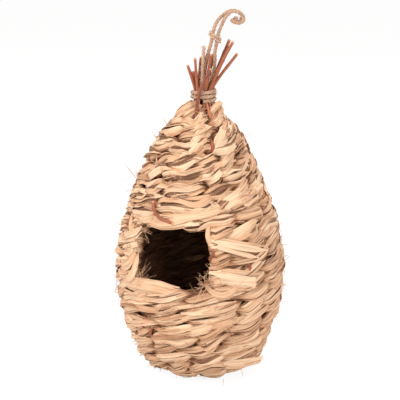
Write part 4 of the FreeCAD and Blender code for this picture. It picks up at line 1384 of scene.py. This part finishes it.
FRAYS = (
    Fray(-117.5, 119.5, 2.6, 4.0, 14, (4, 9), (0.1, 1.0, -0.1), 0.8),
    Fray(-117, 84, 4.5, 3.0, 16, (8, 18), (0.15, 1.0, 0.1), 0.3),
    Fray(-116, 90, 4.0, 4.0, 8, (5, 12), (0.3, 1.0, 0.2), 0.6),
    Fray(-64.5, 97, 5.0, 5.0, 12, (2, 5), (0.6, -0.2, 0.1), 0.9),
    Fray(-66.5, 86.5, 4.5, 4.0, 50, (3, 10), (0.45, -0.9, 0.0), 0.7),
    Fray(-69, 82, 5.5, 3.0, 12, (8, 18), (0.2, -0.5, -1.0), 0.4),
    Fray(-58, 95, 7.0, 5.0, 14, (4, 9), (0.5, -0.2, 0.3), 1.0),
    Fray(-47, 82, 7.0, 4.0, 8, (5, 11), (0.5, 0.5, -0.4), 0.8),
    Fray(-148, 147, 5.0, 3.0, 6, (8, 20), (0.6, -1.0, 0.3), 0.3),
    Fray(-150, 140, 5.0, 3.0, 5, (6, 13), (0.6, -0.8, -0.6), 0.4),
    Fray(-152, 60, 5.0, 6.0, 6, (6, 12), (0.8, -0.6, -0.3), 0.5),
    Fray(-150, 72, 5.0, 5.0, 5, (5, 11), (0.8, -0.8, 0.0), 0.5),
    Fray(0, 87, 5.5, 6.0, 9, (6, 16), (0.5, 1.0, -0.1), 0.4),
    Fray(2, 106, 5.5, 3.0, 4, (6, 12), (0.5, 0.9, 0.5), 0.4),
    Fray(-2, 62, 5.5, 5.0, 5, (5, 10), (0.6, 0.6, -0.2), 0.5),
    Fray(-52, 12, 5.0, 4.0, 6, (5, 10), (0.8, 0.5, -0.1), 0.3),
    Fray(-95, 36, 6.0, 12.0, 14, (6, 16), (0.5, 0.6, 0.0), 1.0),
    Fray(-40, 30, 6.0, 12.0, 14, (6, 16), (0.5, 0.6, 0.0), 1.0),
    Fray(-60, 150, 6.0, 10.0, 12, (6, 16), (0.5, 0.6, 0.3), 1.0),
    Fray(-100, 158, 6.0, 10.0, 10, (6, 14), (0.5, -0.6, 0.3), 1.0),
    Fray(-150, 178, 5.5, 5.0, 5, (4, 9), (0.6, -0.6, 0.5), 0.5),
    Fray(-92, 60, 6.2, 16.0, 26, (5, 15), (0.25, 0.8, 0.1), 1.0),
    Fray(-60, 52, 6.2, 16.0, 26, (5, 15), (0.25, 0.8, 0.2), 1.0),
    Fray(-115, 40, 6.2, 14.0, 18, (5, 12), (0.25, 0.8, 0.1), 1.0),
    Fray(-80, 20, 6.0, 10.0, 18, (4, 12), (0.3, 0.8, 0.1), 1.0),
)


@dataclass
class LooseGrass:
    """Blades and fibres that lie over the rows, with the bundles folded back at the entrance."""

    wall: Wall
    twigs: TwigFrame
    finish: Material
    thickness: float = 0.26
    station: float = 0.9
    crown_of_strip: float = 0.08  # how fast a strip falls off to its sides
    wanderers: int = 84
    wander_length: tuple[float, float] = (22.0, 46.0)
    wander_heights: tuple[float, float] = (14.0, 176.0)
    front_azimuths: tuple[float, float] = (-160.0, 10.0)
    entrance_heights: tuple[float, float] = (68.0, 132.0)
    entrance_middle: float = -5.0  # degrees from the front
    entrance_half_angle: float = 34.0
    wrap_seed: int = 40
    seed: int = 50

    def build(self) -> None:
        """Builds the folded bundles over their nodes, then everything that only lies loose."""
        for number, (name, strips) in enumerate(EDGE_WRAPS.items()):
            self.rng = np.random.default_rng(self.wrap_seed + number)
            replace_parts(self._piece(f"grass_{name}", (self._lay, strips)), name)
        self.rng = np.random.default_rng(self.seed)
        self._piece("loose_grass_lintel", (self._lay, LINTEL))
        self._piece("loose_grass_sill", (self._lay, SILL))
        self._piece("loose_grass_jambs", (self._lay, JAMBS))
        self._piece("loose_grass_neck", (self._turn_in, NECK_LUMPS), (self._wisp, [NECK_TUFT] * 60))
        self._piece("loose_grass_blades", (self._lay, self._wandering()))
        self._piece("loose_grass_fibres", (self._fray, FRAYS))
        self._piece("loose_grass_odd", (self._lay, ODD_BLADES))

    def _piece(self, name: str, *jobs: tuple) -> bpy.types.Object:
        """Makes one piece by its jobs, each a method and the entries that it adds."""
        self.parts = MeshParts()
        for add, entries in jobs:
            for entry in entries:
                add(entry)
        return self.parts.build(name, self.finish, "grass")

    def _wandering(self) -> list[Strip]:
        """Odd blades that climb over a row all round the pod, every other one in front."""
        rng = self.rng
        sill, top = self.entrance_heights
        strips = []
        for _ in range(self.wanderers):
            height = rng.uniform(*self.wander_heights)
            azimuth = rng.uniform(0, 360)
            if rng.random() < 0.5:
                azimuth = rng.uniform(*self.front_azimuths)
            turn = math.degrees(rng.uniform(*self.wander_length) / self.wall.radius_at(height))
            from_front = (azimuth + turn / 2 - FRONT + 180) % 360 - 180
            beside = abs(from_front - self.entrance_middle) >= self.entrance_half_angle + turn / 2
            if not beside and sill < height < top:
                continue
            rise = rng.uniform(2, 8)
            lift = rng.uniform(5.7, 6.5)
            shares = ((0, 3.4), (0.25, lift), (0.75, lift), (1, 3.4))
            route = [(azimuth + turn * share, height + rise * share, out) for share, out in shares]
            strips.append(Strip(route, rng.uniform(2.6, 5.6), 1, 0, rng.uniform(0.4, 0.75)))
        return strips

    def _lay(self, strip: Strip) -> None:
        """Adds one strip's blades, side by side along its route on the wall."""
        for number, lane in enumerate(strip.lanes()):
            corners = []
            for azimuth, height, lift in strip.route:
                high = height + lane + self.rng.normal(0, 0.35)
                sunk = lift + 0.35 * (number % 3) - self.crown_of_strip * lane**2
                corners.append(self.wall.spot(azimuth, high, sunk))
            line = resampled(spline_line(corners), self.station)
            azimuths = np.degrees(np.arctan2(line[:, 1], line[:, 0]))
            spots = zip(azimuths, line[:, 2])
            self._blade(strip, line, np.array([self.wall.outward_at(*spot) for spot in spots]))

    def _turn_in(self, strip: Strip) -> None:
        """Adds one strip's blades round a bundle that is turned in under the binding."""
        middle = spline_line([self.twigs.view_point(*point) for point in strip.route])
        middle = resampled(middle, self.station)
        way = np.linspace(0, 1, len(middle))
        bulge = 0.55 + 0.45 * np.sin(math.pi * np.clip(way * 1.05, 0, 1)) ** 0.7
        outward = unit((middle - self.twigs.axis) * LEVEL + UP * 4.0)
        sideways = unit(np.cross(np.gradient(middle, axis=0), outward))
        for lane in strip.lanes():
            angle = lane / strip.fan * 1.25 + self.rng.normal(0, 0.12) + 0.5 * way
            reach = strip.fan * bulge * self.rng.uniform(0.9, 1.06)
            normals = turned(outward, sideways, angle)
            self._blade(strip, middle + normals * reach[:, None], normals)

    def _wisp(self, place: tuple) -> None:
        """Adds one short fibre somewhere near a place beside the neck."""
        root = self.twigs.view_point(*place) + self.rng.normal(0, 1.9, 3)
        heading = self.rng.normal(0, 1, 3)
        self.parts.add_whisker(root, heading, self.rng.uniform(3, 9), self.rng, 0.5)

    def _blade(self, strip: Strip, line: np.ndarray, normals: np.ndarray) -> None:
        """Adds one blade of a strip along its middle line, with the way that it faces there."""
        rng = self.rng
        way = np.linspace(0, 1, len(line))
        normals = rolled(line, normals, rng.normal(0, 0.16) + 0.14 * ripple(rng, way, 3, 7))
        taper = np.clip(4.5 * way, 0.45, 1)
        if not strip.cut_square:
            taper = np.minimum(taper, np.clip(4.5 * (1 - way), 0.3, 1))
        width = strip.width * rng.uniform(0.85, 1.1) * taper * (1 + 0.07 * ripple(rng, way, 5, 12))
        curl, crease = rng.uniform(0.03, 0.16), rng.normal(0, 0.2)
        rings, across = blade_rings(line, normals, width, curl, crease, self.thickness)
        along = rng.uniform(0, ANY_MAP_START) + np.arange(len(line)) * self.station
        tone = float(np.clip(strip.tone + rng.normal(0, 0.06), 0.1, 0.8))
        self.parts.add_sweep(rings, along, across + rng.uniform(0, 60), tone)

    def _fray(self, fray: Fray) -> None:
        """Adds the fibres of one frayed spot."""
        rng = self.rng
        outward, sideways, upward = fray.heading
        for _ in range(fray.count):
            high = fray.height + rng.normal(0, fray.reach / 2)
            turn = fray.azimuth + math.degrees(rng.normal(0, fray.reach / 2) / 60)
            heading = self.wall.outward_at(turn, high) * outward + polar(1, turn + 90, 0) * sideways
            heading = heading + UP * upward + rng.normal(0, fray.scatter, 3)
            width = rng.uniform(0.16, 0.4)
            root = self.wall.spot(turn, high, fray.lift)
            self.parts.add_whisker(root, heading, rng.uniform(*fray.length), rng, width, 2.6)


@dataclass
class Studio:
    """White sweep, soft lamps and the camera."""

    target_height: float = 0.1313
    azimuth: float = 19.0
    elevation: float = 15.0
    distance: float = 0.84
    lens: float = 100.0
    ground_half: float = 4.0
    ground_glow: float = 1.06
    ground_glow_share: float = 0.86  # the rest is the card itself, which takes the shadow
    sky_strength: float = 0.55

    # name, place, size and power of each lamp, in metres and watts
    LAMPS = (
        ("key", (-0.55, -1.0, 1.25), 0.9, 19.0),
        ("fill", (1.0, -0.75, 0.7), 1.0, 8.0),
        ("back", (0.2, 1.0, 1.0), 0.9, 9.0),
    )

    def build(self) -> None:
        """Sets up the view, the light and the ground."""
        self.target = Vector((0, 0, self.target_height))
        self._camera()
        self._world()
        self._ground()
        for name, place, size, power in self.LAMPS:
            data = bpy.data.lights.new(name, "AREA")
            data.size = size
            data.energy = power
            self._aim(data, Vector(place), Vector(place) - self.target)

    def _aim(self, data: bpy.types.ID, place: Vector, back: Vector) -> bpy.types.Object:
        """Puts a camera or a lamp at a place, turned away from the direction behind it."""
        thing = bpy.data.objects.new(data.name, data)
        thing.location = place
        thing.rotation_euler = back.to_track_quat("Z", "Y").to_euler()
        bpy.context.scene.collection.objects.link(thing)
        return thing

    def _camera(self) -> None:
        """A long lens, level with the pod's belly and a little above it."""
        turn, rise = math.radians(self.azimuth), math.radians(self.elevation)
        back = Vector((math.sin(turn) * math.cos(rise), -math.cos(turn) * math.cos(rise), math.sin(rise)))
        data = bpy.data.cameras.new("camera")
        data.lens = self.lens
        data.clip_start = 0.05
        bpy.context.scene.camera = self._aim(data, self.target + back * self.distance, back)

    @staticmethod
    def _glow(tree: Tree, kind: str, colour: tuple, strength: float) -> Socket:
        """A shader of an even colour and strength."""
        inputs = {"Color": (*colour, 1.0), "Strength": strength}
        return add_node(tree, kind, inputs).outputs[0]

    @staticmethod
    def _mix(tree: Tree, share: Socket, first: Socket, second: Socket) -> Socket:
        """Two shaders mixed by the second one's share."""
        return add_node(tree, "ShaderNodeMixShader", {0: share, 1: first, 2: second}).outputs[0]

    def _world(self) -> None:
        """A plain pale sky that gives soft light from all round, and looks white."""
        scene = bpy.context.scene
        scene.world = bpy.data.worlds.new("studio")
        scene.world.use_nodes = True
        tree = scene.world.node_tree
        tree.nodes.clear()
        path = add_node(tree, "ShaderNodeLightPath").outputs
        inputs = {0: path["Is Camera Ray"], 1: path["Is Glossy Ray"]}
        seen = add_node(tree, "ShaderNodeMath", inputs, operation="MAXIMUM").outputs[0]
        soft = self._glow(tree, "ShaderNodeBackground", (1.0, 0.98, 0.95), self.sky_strength)
        white = self._glow(tree, "ShaderNodeBackground", (1, 1, 1), 1.0)
        add_node(tree, "ShaderNodeOutputWorld", {"Surface": self._mix(tree, seen, soft, white)})
        scene.view_settings.view_transform = "Standard"

    def _ground(self) -> None:
        """A large white card under the pod that keeps a faint shadow."""
        material, tree = new_material("white_card")
        path = add_node(tree, "ShaderNodeLightPath").outputs
        card = add_node(tree, "ShaderNodeBsdfDiffuse", {"Color": (0.9, 0.9, 0.9, 1)}).outputs[0]
        glow = self._glow(tree, "ShaderNodeEmission", (1, 1, 1), self.ground_glow)
        inputs = {0: path["Is Camera Ray"], 1: self.ground_glow_share}
        share = add_node(tree, "ShaderNodeMath", inputs, operation="MULTIPLY").outputs[0]
        surface = self._mix(tree, share, card, glow)
        add_node(tree, "ShaderNodeOutputMaterial", {"Surface": surface})
        mesh = bpy.data.meshes.new("ground")
        half, level = self.ground_half, CAD_BOX[0].z
        corners = [(x * half, y * half, level) for x, y in ((-1, -1), (1, -1), (1, 1), (-1, 1))]
        mesh.from_pydata(corners, [], [(0, 1, 2, 3)])
        mesh.materials.append(material)
        ground = bpy.data.objects.new("ground", mesh)
        bpy.context.scene.collection.objects.link(ground)


def main() -> None:
    """Builds the studio and every piece of the pod."""
    logging.basicConfig(level=logging.INFO, format="%(message)s")
    Studio().build()
    bark = TwigBark().material()
    grass = FlattenedGrass().material()
    jute = SpunJute().material()
    wall = Wall()
    twigs = TwigFrame(wall)
    JuteWork(twigs, jute).build()
    twigs.build(bark)
    Weave(wall).build(grass)
    LooseGrass(wall, twigs, grass).build()


if __name__ == "__main__":
    main()
